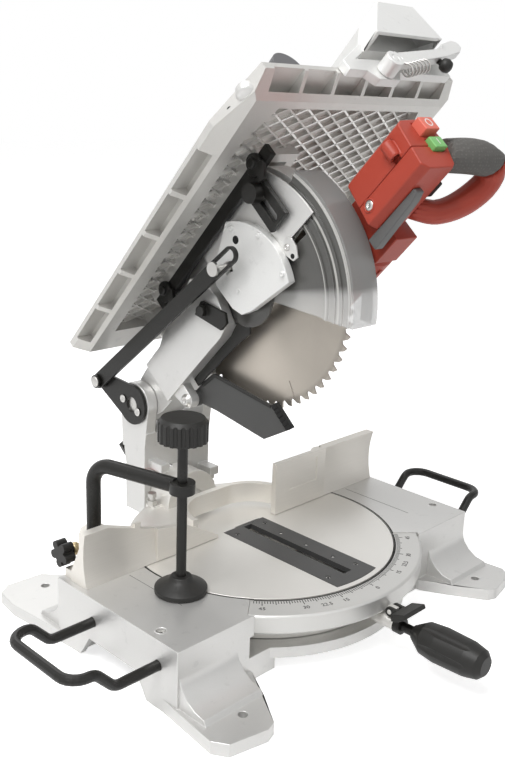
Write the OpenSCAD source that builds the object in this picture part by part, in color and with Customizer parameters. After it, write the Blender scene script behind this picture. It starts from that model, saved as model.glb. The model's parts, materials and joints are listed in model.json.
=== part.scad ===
// Table-top mitre saw: cast base with a turntable, a tilting bracket, and a chopping head that also
// carries an upper saw table. Drawn with the head raised. Millimetres, front towards -Y, left at -X.

/* [Base] */
// Width across both wings
base_w = 452; // [440:1:470]
// Height of the work table above the bench
table_h = 70; // [66:1:78]
// Distance from the turntable axis to the front of the wings
wing_front = 121; // [112:1:126]
// Distance from the turntable axis to the back of the wings
wing_rear = 62; // [56:1:66]
// Wall thickness of the castings
wall = 7; // [5:0.5:9]
// Spacing of the bench bolts across the saw
bolt_x = 375; // [365:1:385]
// Spacing of the bench bolts from front to back
bolt_y = 310; // [300:1:320]
// Diameter of the bench bolt holes
bolt_d = 9; // [7:0.5:11]
// Thickness of the feet
foot_t = 13; // [10:1:16]
// Outer radius of the mitre scale
scale_r = 178; // [172:1:182]
// Height of the mitre scale's ring
scale_t = 21; // [19:0.5:22]

/* [Turntable] */
// Width of the mitre scale's ring round the turntable
scale_w = 29.8; // [26:0.1:34]
// Gap round the turntable
turntable_gap = 1.2; // [0.8:0.1:2]
// Width of the kerf insert
insert_w = 62; // [56:1:68]
// Thickness of the kerf insert
insert_t = 6; // [4:0.5:8]
// Diameter of the turntable pivot bolt
pivot_d = 16; // [12:1:20]
// Length of the mitre handle's grip
grip_l = 80; // [70:1:95]
// Largest diameter of the mitre handle's grip
grip_d = 37; // [34:1:42]

/* [Fence] */
// Distance of the fence's face behind the turntable axis
fence_y = 21; // [18:1:26]
// Thickness of the fence plates
fence_t = 7; // [5:0.5:9]
// Height of the fence above the table
fence_h = 63; // [56:1:70]
// Half of the gap between the fence plates
fence_gap = 45; // [40:1:50]

/* [Clamp and supports] */
// Diameter of the clamp post
post_d = 15; // [12:1:17]
// Diameter of the clamp screw
screw_d = 10; // [8:1:12]
// Reach of the clamp arm from the post to the screw
clamp_reach = 109; // [100:1:115]
// Height of the clamp arm above the bench
clamp_arm_z = 179; // [172:1:190]
// Diameter of the clamp knob
knob_d = 48; // [40:1:52]
// Diameter of the support bow's rod
bow_d = 10; // [8:1:12]
// Distance between the two legs of a support bow
bow_span = 98; // [90:1:104]

/* [Head] */
// Distance of the chop pivot behind the turntable axis
chop_y = 170; // [166:1:176]
// Height of the chop pivot above the bench
chop_z = 187; // [184:1:194]
// Angle that the head is raised by
chop_deg = 48; // [44:1:50]
// Distance from the chop pivot to the blade's arbor along the level head
arbor_reach = 220; // [216:1:224]
// Drop of the arbor below the chop pivot on the level head
arbor_drop = 13; // [10:1:16]
// Diameter of the chop pivot shaft
chop_d = 18; // [14:1:20]
// Diameter of the bevel pivot bolt
bevel_d = 20; // [16:1:24]

/* [Blade] */
// Diameter of the blade
blade_d = 250; // [240:1:252]
// Number of teeth
teeth = 60; // [40:2:80]
// Thickness of the blade's plate
blade_t = 1.8; // [1.4:0.1:2.4]
// Diameter of the arbor
arbor_d = 16; // [14:1:20]
// Diameter of the blade flanges
flange_d = 50; // [44:1:54]

/* [Upper table] */
// Left edge of the upper table from the blade
deck_left = 100; // [92:1:108]
// Right edge of the upper table from the blade
deck_right = 225; // [210:1:240]
// Front edge of the upper table from the chop pivot
deck_front = 432; // [426:1:440]
// Back edge of the upper table from the chop pivot
deck_back = 24; // [20:1:30]
// Height of the upper table's top above the chop pivot
deck_z = 84; // [80:1:90]
// Depth of the upper table's edge
deck_h = 18; // [15:1:20]
// Thickness of the upper table's plate
deck_t = 5; // [4:0.5:6]

/* [Hidden] */
$fn = 64;
// Clearances: a running fit, a gap between moving neighbours, and an overshoot for cuts
fit = 0.05;
gap = 0.4;
eps = 0.5;

// The turntable axis lies behind the centre of the bench bolt pattern
axis_y = 10;

cast_c = "#cfcfcb";
machined_c = "#c9c4bb";
black_c = "#2c2c2a";
dark_c = "#55565a";
steel_c = "#b8b5b0";
red_c = "#b84a36";
clear_c = "#9a9a98";

recess_r = scale_r - scale_w;
turntable_r = recess_r - turntable_gap;
kerf_front = turntable_r - 23;
floor_t = 12;
floor_z = 14;
floor_top = floor_z + floor_t;
scale_top = table_h - 1;
arch_z = scale_top - scale_t;
scale_half_deg = 49.5;
wing_in = 100;
foot_hole = [bolt_x / 2, bolt_y / 2 - axis_y];
handle_z = arch_z - 8;
front_end = scale_r + 12;
detent_y = scale_r + 7;
detent_z = arch_z + 5;
bow_y = -45;
bow_z = table_h - 25;
bow_bar_z = bow_z + 21;
bow_len = 150;
bow_corner = 18;
bow_bend_r = 14;
kink_deg = 46;
kink_run = (bow_bar_z - bow_z - 2 * bow_bend_r * (1 - cos(kink_deg))) / sin(kink_deg);
kink_l = 2 * bow_bend_r * sin(kink_deg) + kink_run * cos(kink_deg);
bow_left_bar = 318;
bow_right_bar = 302;
bow_boss = bow_d + 12;

post_at = [48 - base_w / 2, 66];
clamp_turn = 13.8;
socket_d = post_d + 14;
socket_top = table_h + 36;
fence_screw = [base_w / 2 - 27, 46];
scoop_x = 131;
scoop_r = 110;
scoop_t = 5;
bridge_ends = [-26, 14];
bridge_r = 45;
bridge_h = 24;
knob_rise = 139;
knob_h = 19;
pad_h = 17;
pad_d = 52;

bevel_y = 150;
trunnion_r = 38;
trunnion_y = 114;
bracket_y = bevel_y + gap;
bracket_l = 36;
ear_in = 30;
ear_t = 14;
right_ear_in = 44;
knuckle_x = 13;
knuckle_r = 26;
link_at = [chop_y + 56, chop_z + 17];
link_x = 50;
link_t = 5;
stop_at = [46, 134];
stop_d = 6;

guard_left = 17;
guard_right = 12;
guard_t = 2.5;
guard_r = blade_d / 2 + 5;
panel_out = 25.4;
panel_t = 2.2;
panel_r = 127;
panel_from = 34;
shield_left = 21;
shield_right = 15.5;
shield_t = 2.5;
shield_r = blade_d / 2 + 16;
shield_band = shield_r - 37;
shield_low = -53;
shield_high = 17;
hub_r = 20;
hub_out = 36;
hub_hole = 28;
cover_in = panel_out;
cover_out = 35;
cover_r = 74;
cover_bosses = [46, 62];
link_pin = [-11, 27];
link_pin_d = 7;
link_w = 18;
slot_w = 12;
link_slot = 26;
pin_deg = atan2(link_pin[1], -link_pin[0]);
case_in = 18;
case_out = 66;
case_r = 41;
motor_x = 50;
motor_drop = 27;
motor_r = 36;
motor_front = 340;
motor_back = 262;
flap_pivot = [-68, -44];

deck_low = deck_z - deck_h;
deck_front_in = 18;
deck_chamfer = 69;
rib_deg = 30;
rib_pitch = 27;
rib_t = 2;
rib_h = 4;
slope_front = 30;
slope_side = 20;
deck_slot = [-330, -112];
deck_slot_w = 44;
insert_plate = 3;
ledge = 4;
beam_top = 24;
case_boss = 5;
guide_out = 33;
clamp_bolt = [-312, 40];
lift_posts = [[0, -62, beam_top], [31, -arbor_reach, case_r - arbor_drop + case_boss]];
lift_d = 14;

// Frames that pieces are drawn in
module on_axis() translate([0, axis_y, 0]) children();
module on_head() translate([0, axis_y + chop_y, chop_z]) rotate([-chop_deg, 0, 0]) children();
module on_arbor() on_head() translate([0, -arbor_reach, -arbor_drop]) children();
module on_clamp() on_axis() translate([post_at[0], post_at[1], 0]) rotate([0, 0, clamp_turn]) children();

// Turns a piece drawn along Z to lie along X, Y or -Y
module along_x() rotate([0, 90, 0]) children();
module along_y() rotate([-90, 0, 0]) children();

// Rod along X or Y between two places
module rod_x(x0, x1, d) translate([x0, 0, 0]) along_x() cylinder(d = d, h = x1 - x0);
module rod_y(y0, y1, d) translate([0, y0, 0]) along_y() cylinder(d = d, h = y1 - y0);

// Extrudes an outline drawn in (y, z) from x0 to x1
module side_plate(x0, x1) translate([x0, 0, 0]) rotate([90, 0, 90]) linear_extrude(x1 - x0) children();

// Extrudes an outline drawn in (x, z) from y0 back to y1
module front_plate(y0, y1) translate([0, y1, 0]) rotate([90, 0, 0]) linear_extrude(y1 - y0) children();

// Box between two corners
module block(a, b) translate(a) cube(b - a);

// Turns a section drawn in (radius, x) round the X axis, from angle a0 to a1 above the front
module arc_x(a0, a1) along_x() rotate([0, 0, 270 - a1]) rotate_extrude(angle = a1 - a0, $fn = 96)
  children();

// Turns a section drawn in (radius, z) round Z, over half_deg each side of the front
module front_arc(half_deg) rotate([0, 0, 270 - half_deg]) rotate_extrude(angle = 2 * half_deg, $fn = 128)
  children();

// Both sides of the saw
module both_sides() for (s = [0, 1]) mirror([s, 0, 0]) children();

// Tube of round sections along a path, from its first to its last place, as one closed skin
function unit(v) = v / norm(v);
function side_of(d) = unit(cross(d, abs(d[2]) < 0.9 ? [0, 0, 1] : [1, 0, 0]));
module sweep(path, radii, sides, first, last) {
  n = last - first + 1;
  rings = [for (i = [first:last])
    let (d = unit(path[min(i + 1, len(path) - 1)] - path[max(i - 1, 0)]), a = side_of(d), b = cross(d, a))
    for (k = [0:sides - 1]) path[i] + radii[i] * (cos(360 * k / sides) * a + sin(360 * k / sides) * b)];
  walls = [for (i = [0:n - 2]) for (k = [0:sides - 1]) let (q = (k + 1) % sides)
    each [[i * sides + k, (i + 1) * sides + k, i * sides + q],
      [i * sides + q, (i + 1) * sides + k, (i + 1) * sides + q]]];
  cap0 = [[for (k = [0:sides - 1]) k]];
  cap1 = [[for (k = [sides - 1:-1:0]) (n - 1) * sides + k]];
  polyhedron(points = rings, faces = concat(walls, cap0, cap1), convexity = 6);
}

// Base
module wing() {
  difference() {
    side_plate(wing_in, base_w / 2) difference() {
      translate([-wing_front, 0]) square([wing_front + wing_rear, table_h]);
      polygon([[-78, -eps], [-62, 24], [10, 24], [26, -eps]]);
    }
    block([recess_r + wall + 4, -wing_front + wall, -eps], [base_w / 2 - wall, wing_rear - wall,
      table_h - wall - 2]);
  }
  for (s = [-1, 1])
    block([recess_r + 2, bow_y + s * bow_span / 2 - bow_boss / 2, bow_z - bow_boss / 2],
      [base_w / 2 - 1, bow_y + s * bow_span / 2 + bow_boss / 2, bow_z + bow_boss / 2]);
}
module front_foot() linear_extrude(foot_t) {
  translate([0, -axis_y]) polygon([[bolt_x / 2 + 38, -86], [bolt_x / 2 + 46, -bolt_y / 2 - 8],
    [bolt_x / 2 + 37, -bolt_y / 2 - 22], [bolt_x / 2 - 2, -bolt_y / 2 - 30],
      [bolt_x / 2 - 13, -bolt_y / 2 - 26],
    [bolt_x / 2 - 38, -bolt_y / 2 + 14], [bolt_x / 2 - 52, -bolt_y / 2 + 40], [bolt_x / 2 - 52, -86]]);
}
module rear_foot() linear_extrude(foot_t) {
  translate([0, -axis_y]) polygon([[bolt_x / 2 + 38, 40], [bolt_x / 2 + 48, bolt_y / 2 - 12],
    [bolt_x / 2 + 44, bolt_y / 2 + 18], [bolt_x / 2 + 30, bolt_y / 2 + 28],
      [bolt_x / 2 - 12, bolt_y / 2 + 26],
    [bolt_x / 2 - 30, bolt_y / 2 + 6], [bolt_x / 2 - 34, 40]]);
}
// Outline of the ramp from a wing's end face, at y, down to its foot
module foot_ramp(y, s) polygon([[y - s, 1], [y - s, 46], [y + s * 4, 34], [y + s * 11, foot_t + 13],
  [y + s * 21, foot_t + 7], [y + s * 33, foot_t + 5], [y + s * 36, foot_t - 1], [y + s * 36, 1]]);
module foot_steps() {
  side_plate(bolt_x / 2 - 34, base_w / 2 - 2) foot_ramp(-wing_front, -1);
  side_plate(bolt_x / 2 - 26, base_w / 2 - 2) foot_ramp(wing_rear, 1);
}
module base_casting() color(cast_c) on_axis() difference() {
  union() {
    both_sides() {
      wing();
      front_foot();
      rear_foot();
      foot_steps();
    }
    translate([0, 0, floor_z]) cylinder(r = recess_r + 14, h = floor_t, $fn = 128);
  }
  translate([0, 0, floor_top]) cylinder(r = recess_r, h = table_h, $fn = 128);
  front_arc(scale_half_deg) translate([recess_r - 3, floor_top]) polygon([[0, 0],
    [scale_r - recess_r + 7, 0],
    [scale_r - recess_r + 7, arch_z - floor_top], [scale_r - recess_r + 3.2, arch_z - floor_top],
    [scale_r - recess_r + 3.2, table_h], [0, table_h]]);
  translate([0, 0, floor_z - eps]) cylinder(d = pivot_d + 2 * fit, h = floor_t + 2 * eps);
  both_sides() {
    for (s = [-1, 1])
      translate([foot_hole[0], s * bolt_y / 2 - axis_y, -eps]) cylinder(d = bolt_d, h = foot_t + 2 * eps);
    for (s = [-1, 1])
      translate([0, bow_y + s * bow_span / 2, bow_z]) rod_x(recess_r + 1.3, base_w / 2 + eps,
        bow_d + 2 * fit);
    translate([base_w / 2 - 13, bow_y - bow_span / 2 + 11, table_h - wall - 3])
      cylinder(d = 9, h = wall + 4);
  }
}
module mitre_scale() color(machined_c) on_axis()
  front_arc(scale_half_deg) translate([recess_r, arch_z]) polygon([[0, 0], [scale_r - recess_r - 3, 0],
    [scale_r - recess_r, 3], [scale_r - recess_r, scale_t - 2], [scale_r - recess_r - 2, scale_t],
      [0, scale_t]]);
module bow_screws() color(steel_c) on_axis() both_sides()
  translate([base_w / 2 - 13, bow_y - bow_span / 2 + 11, table_h - 6]) difference() {
    translate([0, 0, -5]) cylinder(d = 9, h = 8);
    cylinder(d = 5, h = 4, $fn = 6);
  }
module pivot_bolt() color(steel_c) on_axis() {
  translate([0, 0, floor_z - 9]) cylinder(d = pivot_d + 10, h = 9, $fn = 6);
  translate([0, 0, floor_z - eps]) cylinder(d = pivot_d, h = table_h - 30 - floor_z);
}

// Fence
module fence_left_outline() polygon([[-base_w / 2 + 6, table_h], [-base_w / 2 + 6, table_h + fence_h - 6],
  [-base_w / 2 + 34, table_h + fence_h - 6], [-140, table_h + fence_h - 24], [-92, table_h + 30],
    [-fence_gap, table_h + 4],
  [-fence_gap, table_h]]);
module fence_right_outline() polygon([[fence_gap, table_h], [fence_gap, table_h + fence_h],
  [base_w / 2 - 2, table_h + fence_h], [base_w / 2 - 2, table_h]]);
module fence_foot() {
  block([base_w / 2 - 78, fence_y + 1, table_h], [base_w / 2 - 8, wing_rear - 2, table_h + 9]);
  for (x = [base_w / 2 - 76, base_w / 2 - 42, base_w / 2 - 14])
    side_plate(x, x + 8) polygon([[fence_y + 1, table_h],
    [fence_y + 1, table_h + 50],
    [fence_y + fence_t, table_h + 50], [wing_rear - 14, table_h + 9], [wing_rear - 14, table_h]]);
  translate([-post_at[0], post_at[1], table_h]) cylinder(d = socket_d, h = socket_top - table_h);
}
// Wall that joins the two plates behind the blade
module fence_bridge() translate([0, fence_y + 5, table_h + 5]) {
  for (c = [[bridge_ends[0], 90], [bridge_ends[1], 0]]) translate([c[0], 0, 0]) rotate([0, 0, c[1]])
    rotate_extrude(angle = 90, $fn = 96) translate([bridge_r, 0]) square([fence_t, bridge_h]);
  block([bridge_ends[0] - eps, bridge_r, 0], [bridge_ends[1] + eps, bridge_r + fence_t, bridge_h]);
}
module fence() color(machined_c) on_axis() difference() {
  union() {
    front_plate(fence_y, fence_y + fence_t) fence_left_outline();
    front_plate(fence_y, fence_y + fence_t) fence_right_outline();
    intersection() {
      front_plate(fence_y, fence_y + fence_t + 5) union() {
        fence_left_outline();
        fence_right_outline();
      }
      both_sides() block([scoop_x, fence_y - 1, table_h], [base_w, fence_y + 20, table_h + fence_h]);
    }
    both_sides() fence_foot();
    fence_bridge();
  }
  translate([0, 0, table_h - eps]) cylinder(r = recess_r + 1, h = gap + eps, $fn = 128);
  both_sides() {
    translate([0, fence_y - scoop_r + scoop_t, table_h + fence_h / 2])
      rod_x(scoop_x, base_w / 2 + eps, 2 * scoop_r);
    translate([-post_at[0], post_at[1], table_h + 2]) cylinder(d = post_d + 2 * fit, h = socket_top);
    translate([-post_at[0], post_at[1], table_h + 22]) rod_x(0, socket_d, 8 + 2 * fit);
    translate([fence_screw[0], fence_screw[1], table_h - eps]) cylinder(d = 7, h = 12);
  }
  block([68, fence_y - eps, table_h + 26], [116, fence_y + 1.2, table_h + 56]);
}
module fence_screws() color(steel_c) on_axis() both_sides()
  translate([fence_screw[0], fence_screw[1], table_h + 9]) difference() {
  union() {
    cylinder(d = 13, h = 8);
    translate([0, 0, -9]) cylinder(d = 6.8, h = 9 + eps);
  }
  translate([0, 0, 3]) cylinder(d = 6, h = 6, $fn = 6);
}

// Support bows
// Centre line of the bent part: up each leg's kink and round the corners
function bow_leg(bar_x) = let (kx = bar_x - bow_corner - kink_l, b = bow_bend_r) concat(
  [[kx - 6, bow_z], [kx - 2, bow_z]],
  [for (a = [0:kink_deg / 4:kink_deg]) [kx + b * sin(a), bow_z + b * (1 - cos(a))]],
  [for (a = [kink_deg:-kink_deg / 4:0]) [bar_x - bow_corner - b * sin(a), bow_bar_z - b * (1 - cos(a))]]);
function bow_half(bar_x) = concat([for (p = bow_leg(bar_x)) [p[0], bow_span / 2, p[1]]],
  [for (a = [15:15:90]) [bar_x - bow_corner * (1 - sin(a)),
    bow_span / 2 - bow_corner * (1 - cos(a)), bow_bar_z]]);
module bow(bar_x) {
  half = bow_half(bar_x);
  n = len(half);
  path = concat(half, [for (i = [n - 1:-1:0]) [half[i][0], -half[i][1], half[i][2]]]);
  for (s = [-1, 1]) translate([0, s * bow_span / 2, bow_z])
    rod_x(bar_x - bow_len, bar_x - bow_corner - kink_l - 3, bow_d);
  sweep(path, [for (p = path) bow_d / 2 - fit], 14, 0, 2 * n - 1);
}
module support_bow_left() color(black_c) on_axis() translate([0, bow_y, 0]) rotate([0, 0, 180])
  bow(bow_left_bar);
module support_bow_right() color(black_c) on_axis() translate([0, bow_y, 0]) bow(bow_right_bar);

// Hold-down clamp
module clamp_post() color(black_c) on_clamp() {
  bend = 22;
  translate([0, 0, table_h + 2 + gap]) cylinder(d = post_d, h = clamp_arm_z - bend - table_h - 2 - gap);
  translate([0, -bend, clamp_arm_z - bend]) rotate([0, 0, 90]) rotate([90, 0, 0])
    rotate_extrude(angle = 90) translate([bend, 0]) circle(d = post_d);
  difference() {
    union() {
      translate([0, 0, clamp_arm_z]) rod_y(-clamp_reach + 8, -bend, post_d);
      translate([0, -clamp_reach, clamp_arm_z - 5.5]) cylinder(d = screw_d + 15, h = 11);
    }
    translate([0, -clamp_reach, clamp_arm_z - 20]) cylinder(d = screw_d + 2 * fit, h = 40);
  }
}
module at_screw() on_clamp() translate([0, -clamp_reach, 0]) children();
module clamp_screw() color(black_c) at_screw() translate([0, 0, table_h + pad_h])
  cylinder(d = screw_d, h = knob_rise + 6);
module clamp_knob() color(black_c) at_screw() translate([0, 0, table_h + pad_h + knob_rise]) difference() {
  union() {
    cylinder(d = knob_d, h = knob_h);
    translate([0, 0, knob_h]) cylinder(d1 = knob_d - 1, d2 = knob_d - 7, h = 4);
    translate([0, 0, -3]) cylinder(d = screw_d + 8, h = 3 + eps);
  }
  translate([0, 0, -4]) cylinder(d = screw_d, h = 10);
  for (i = [0:19]) rotate([0, 0, 18 * i]) translate([knob_d / 2 + 1, 0, -1]) cylinder(d = 5, h = knob_h + 3);
}
module clamp_pad() color(black_c) at_screw() translate([0, 0, table_h + 0.3]) rotate_extrude()
  difference() {
  polygon([[0, 0], [pad_d / 2, 0], [pad_d / 2, 5], [pad_d / 2 - 5, 8], [13, 12], [10, pad_h - 0.3],
    [0, pad_h - 0.3]]);
  translate([pad_d / 2 - 9, 0]) square([3, 1.5]);
}
module post_lock_knob() color(black_c) on_axis()
  translate([post_at[0] - post_d / 2 - fit, post_at[1], table_h + 22]) {
    rod_x(-26, 0, 8);
    translate([-36, 0, 0]) along_x() linear_extrude(12) union() {
      circle(d = 17);
      for (a = [0:72:288]) rotate(a) translate([9.5, 0]) circle(d = 9);
    }
  }

// Turntable
module insert_outline(clear) intersection() {
  circle(r = turntable_r - 6 + clear, $fn = 128);
  translate([-insert_w / 2 - clear, -turntable_r]) square([insert_w + 2 * clear,
    turntable_r + fence_y + 6 + clear]);
}
module turntable() color(machined_c) on_axis() difference() {
  union() {
    difference() {
      translate([0, 0, floor_top + gap]) cylinder(r = turntable_r, h = table_h - floor_top - gap,
        $fn = 128);
      difference() {
        translate([0, 0, floor_top]) cylinder(r = turntable_r - wall - 3,
          h = table_h - floor_top - 16, $fn = 128);
        cylinder(r = 34, h = table_h);
        for (a = [45:90:315]) rotate([0, 0, a]) block([20, -4, 0], [turntable_r - 2, 4, table_h]);
      }
    }
    translate([0, 0, handle_z]) rod_y(-front_end, -turntable_r + 12, 15);
    block([-3, -front_end, handle_z], [3, -detent_y + 5, detent_z + 4]);
    translate([0, -detent_y, detent_z]) rod_x(-7, 7, 5);
    translate([0, 0, table_h]) rod_y(trunnion_y, bevel_y, 2 * trunnion_r);
    block([-46, turntable_r - 36, floor_top + gap + 10], [46, bevel_y, table_h - 12]);
    for (s = [-1, 1])
      block([s * (stop_at[0] - 4) - 8, stop_at[1] - 7, 36], [s * (stop_at[0] - 4)
        + 8, stop_at[1] + 7, table_h + 2]);
  }
  translate([0, 0, table_h - insert_t]) linear_extrude(insert_t + 40) insert_outline(0.3);
  block([-12, -kerf_front - 4, table_h - 28], [26, fence_y + 8, table_h]);
  translate([0, 0, floor_top - eps]) cylinder(d = pivot_d + 2 * fit, h = table_h - 29 - floor_top);
  translate([0, 0, table_h]) rod_y(trunnion_y - eps, bevel_y + eps, bevel_d + 2 * fit);
  translate([0, 0, table_h]) rod_y(trunnion_y - 14, trunnion_y, bevel_d + 14);
  translate([0, 0, handle_z]) rod_y(-front_end - eps, -turntable_r, 10 + 2 * fit);
  for (s = [-1, 1]) translate([s * stop_at[0], stop_at[1], table_h - 18]) cylinder(d = stop_d, h = 30);
}
module insert_holes() for (x = [-1, 1], y = [-kerf_front + 6, fence_y - 7])
  translate([x * (insert_w / 2 - 9), y]) circle(d = 6);
module kerf_insert() color(dark_c) on_axis() translate([0, 0, table_h - insert_t])
  linear_extrude(insert_t) difference() {
  insert_outline(0);
  translate([-4, -kerf_front]) square([12, kerf_front + fence_y + 2]);
  insert_holes();
  for (y = [32, 70, 108]) translate([16, y - kerf_front]) circle(d = 4);
}
module insert_screws() color(steel_c) on_axis() {
  translate([0, 0, table_h - insert_t]) linear_extrude(insert_t - 1) insert_holes();
}
module bevel_stops() color(steel_c) on_axis() for (s = [-1, 1])
  translate([s * stop_at[0], stop_at[1], table_h + 2]) {
  translate([0, 0, -20]) cylinder(d = stop_d, h = 30);
  cylinder(d = 2 * stop_d, h = 6, $fn = 6);
  translate([0, 0, 10]) cylinder(d = 2 * stop_d - 1, h = 5, $fn = 6);
}
module bevel_scale() color("#e8e6e0") on_axis()
  translate([0, bevel_y - 9, table_h]) along_y() rotate([0, 0, 212])
  rotate_extrude(angle = 46) translate([trunnion_r, 0]) square([3, 9]);
module bevel_bolt() color(steel_c) on_axis() translate([0, 0, table_h]) {
  rod_y(trunnion_y - 12, trunnion_y, bevel_d + 12);
  rod_y(trunnion_y - eps, bracket_y + bracket_l + 22, bevel_d);
}
module mitre_axis() on_axis() translate([0, 0, handle_z]) children();
module mitre_handle_rod() color(black_c) mitre_axis() {
  rod_y(-front_end - 32, -turntable_r - 4, 10);
  rod_y(-front_end - 8, -front_end - gap, 17);
}
module mitre_handle_grip() color(black_c) mitre_axis() translate([0, -front_end - 22, 0])
  rotate([90, 0, 0]) difference() {
  rotate_extrude() polygon([[0, 0], [grip_d / 2 - 11, 0], [grip_d / 2 - 2, 14], [grip_d / 2, 30],
    [grip_d / 2 - 1, grip_l - 18],
    [grip_d / 2 - 4, grip_l - 5], [grip_d / 2 - 9, grip_l], [0, grip_l]]);
  cylinder(d = 10, h = 20, center = true);
  for (i = [0:5]) rotate([0, 0, 60 * i]) translate([grip_d / 2 + 4, 0, 8]) cylinder(d = 12, h = grip_l);
}
module detent_lever() color(black_c) on_axis() difference() {
  union() {
    side_plate(-7, 7) {
      translate([-detent_y, detent_z]) circle(d = 10);
      translate([-detent_y - 10, detent_z - 3]) square([10, 8]);
    }
    side_plate(-16, 18) polygon([[-detent_y - 9, detent_z - 3], [-detent_y - 9, detent_z + 5],
      [-detent_y - 24, detent_z + 10],
      [-detent_y - 26, detent_z + 6], [-detent_y - 18, detent_z]]);
  }
  block([-3 - gap, -detent_y - 8, 0], [3 + gap, -detent_y + 9, table_h]);
  translate([0, -detent_y, detent_z]) rod_x(-20, 20, 5 + 2 * fit);
}

// Tilting bracket
module bracket_column() polygon([[bracket_y, table_h - 18], [bracket_y, table_h + 66],
  [chop_y - 22, chop_z - 32],
  [chop_y - 12, chop_z - knuckle_r - 3], [chop_y + 24, chop_z - knuckle_r - 3],
    [bracket_y + bracket_l, table_h + 40],
  [bracket_y + bracket_l, table_h - 18]]);
module bracket_ear() {
  translate([chop_y, chop_z]) circle(r = knuckle_r);
  polygon([[bracket_y, table_h + 66], [chop_y - knuckle_r + 0.5, chop_z],
    [chop_y + knuckle_r - 0.5, chop_z],
    [bracket_y + bracket_l + 6, table_h + 60]]);
}
module tilt_bracket() color(cast_c) on_axis() difference() {
  union() {
    translate([0, 0, table_h]) rod_y(bracket_y, bracket_y + bracket_l, 2 * trunnion_r);
    side_plate(-ear_in - ear_t, right_ear_in + ear_t) bracket_column();
    side_plate(-ear_in - ear_t, -ear_in) bracket_ear();
    side_plate(right_ear_in, right_ear_in + ear_t) bracket_ear();
    block([stop_at[0] - 6, stop_at[1] - 7, table_h + 17 + gap],
      [stop_at[0] + 8, bracket_y + 6, table_h + 28]);
    block([-38, stop_at[1] - 7, table_h + 41], [-25, bracket_y + 6, table_h + 51]);
  }
  translate([0, 0, table_h]) rod_y(bracket_y - eps, bracket_y + bracket_l + eps, bevel_d + 2 * fit);
  translate([0, chop_y, chop_z]) rod_x(-70, 80, chop_d);
}
module chop_shaft() color(steel_c) on_axis() translate([0, chop_y, chop_z]) {
  rod_x(-ear_in - ear_t - 1, right_ear_in + ear_t + 4, chop_d);
  rod_x(right_ear_in + ear_t, right_ear_in + ear_t + 6, chop_d + 8);
}
module link_bracket() color(black_c) on_axis() difference() {
  union() {
    side_plate(-ear_in - ear_t - 4, -ear_in - ear_t) union() {
      translate([chop_y, chop_z]) circle(r = knuckle_r - 2);
      translate(link_at) circle(r = 11);
      polygon([[chop_y - 8, chop_z + knuckle_r - 3.5], [link_at[0] + 3, link_at[1] + 10.6],
        [link_at[0] + 2, link_at[1] - 10.8],
        [chop_y + 6, chop_z - knuckle_r + 2.8]]);
    }
    translate([0, link_at[0], link_at[1]]) {
      rod_x(-link_x - link_t - 1, -ear_in - ear_t, 10);
      rod_x(-link_x - link_t - 4, -link_x - link_t - gap, 16);
    }
    for (p = [[chop_y - 12, chop_z - 6], [chop_y + 15, chop_z + 4]])
      translate([0, p[0], p[1]]) rod_x(-ear_in - ear_t - 5.5, -ear_in - ear_t - 3, 7);
  }
  translate([0, chop_y, chop_z]) rod_x(-60, 0, chop_d);
}
module bevel_pointer() color("#b03a2a") on_axis() front_plate(bevel_y - 6, bracket_y)
  polygon([[-44, table_h + 32], [-32, table_h + 29], [-39, table_h + 39], [-44, table_h + 39]]);
module bevel_lock_lever() color(black_c) on_axis() translate([0, bracket_y + bracket_l + gap, table_h])
  difference() {
  union() {
    rod_y(0, 14, 34);
    front_plate(6, 14) polygon([[-14, 6], [6, 15], [-30, 66], [-44, 58]]);
  }
  rod_y(-1, 16, bevel_d + 2 * fit);
}
// Torsion spring round the chop shaft: the wire's centre line, then its least gap to itself
spring_turns = 5;
spring_wire = 1.3;
spring_r = 15;
spring_ring = 8;
spring_x = [knuckle_x + gap, knuckle_x + gap + 3 * spring_wire, right_ear_in - 3 * spring_wire,
  right_ear_in];
spring_n = spring_ring * spring_turns;
spring_path = concat([[spring_x[0], spring_r, 0]], [for (i = [0:spring_n])
  [spring_x[1] + i / spring_n * (spring_x[2] - spring_x[1]), spring_r * cos(360 * i / spring_ring),
  spring_r * sin(360 * i / spring_ring)]], [[spring_x[3], spring_r, 0]]);
spring_gap = min([for (i = [1:spring_n - spring_ring + 2]) for (k = [spring_ring - 2:spring_ring])
  if (i + k <= spring_n + 1) norm(spring_path[i] - spring_path[i + k])]) - 2 * spring_wire;
echo(spring_least_gap = spring_gap);
module return_spring() color(black_c) on_axis() translate([0, chop_y, chop_z])
  sweep(spring_path, [for (p = spring_path) spring_wire], 6, 0, len(spring_path) - 1);

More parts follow.
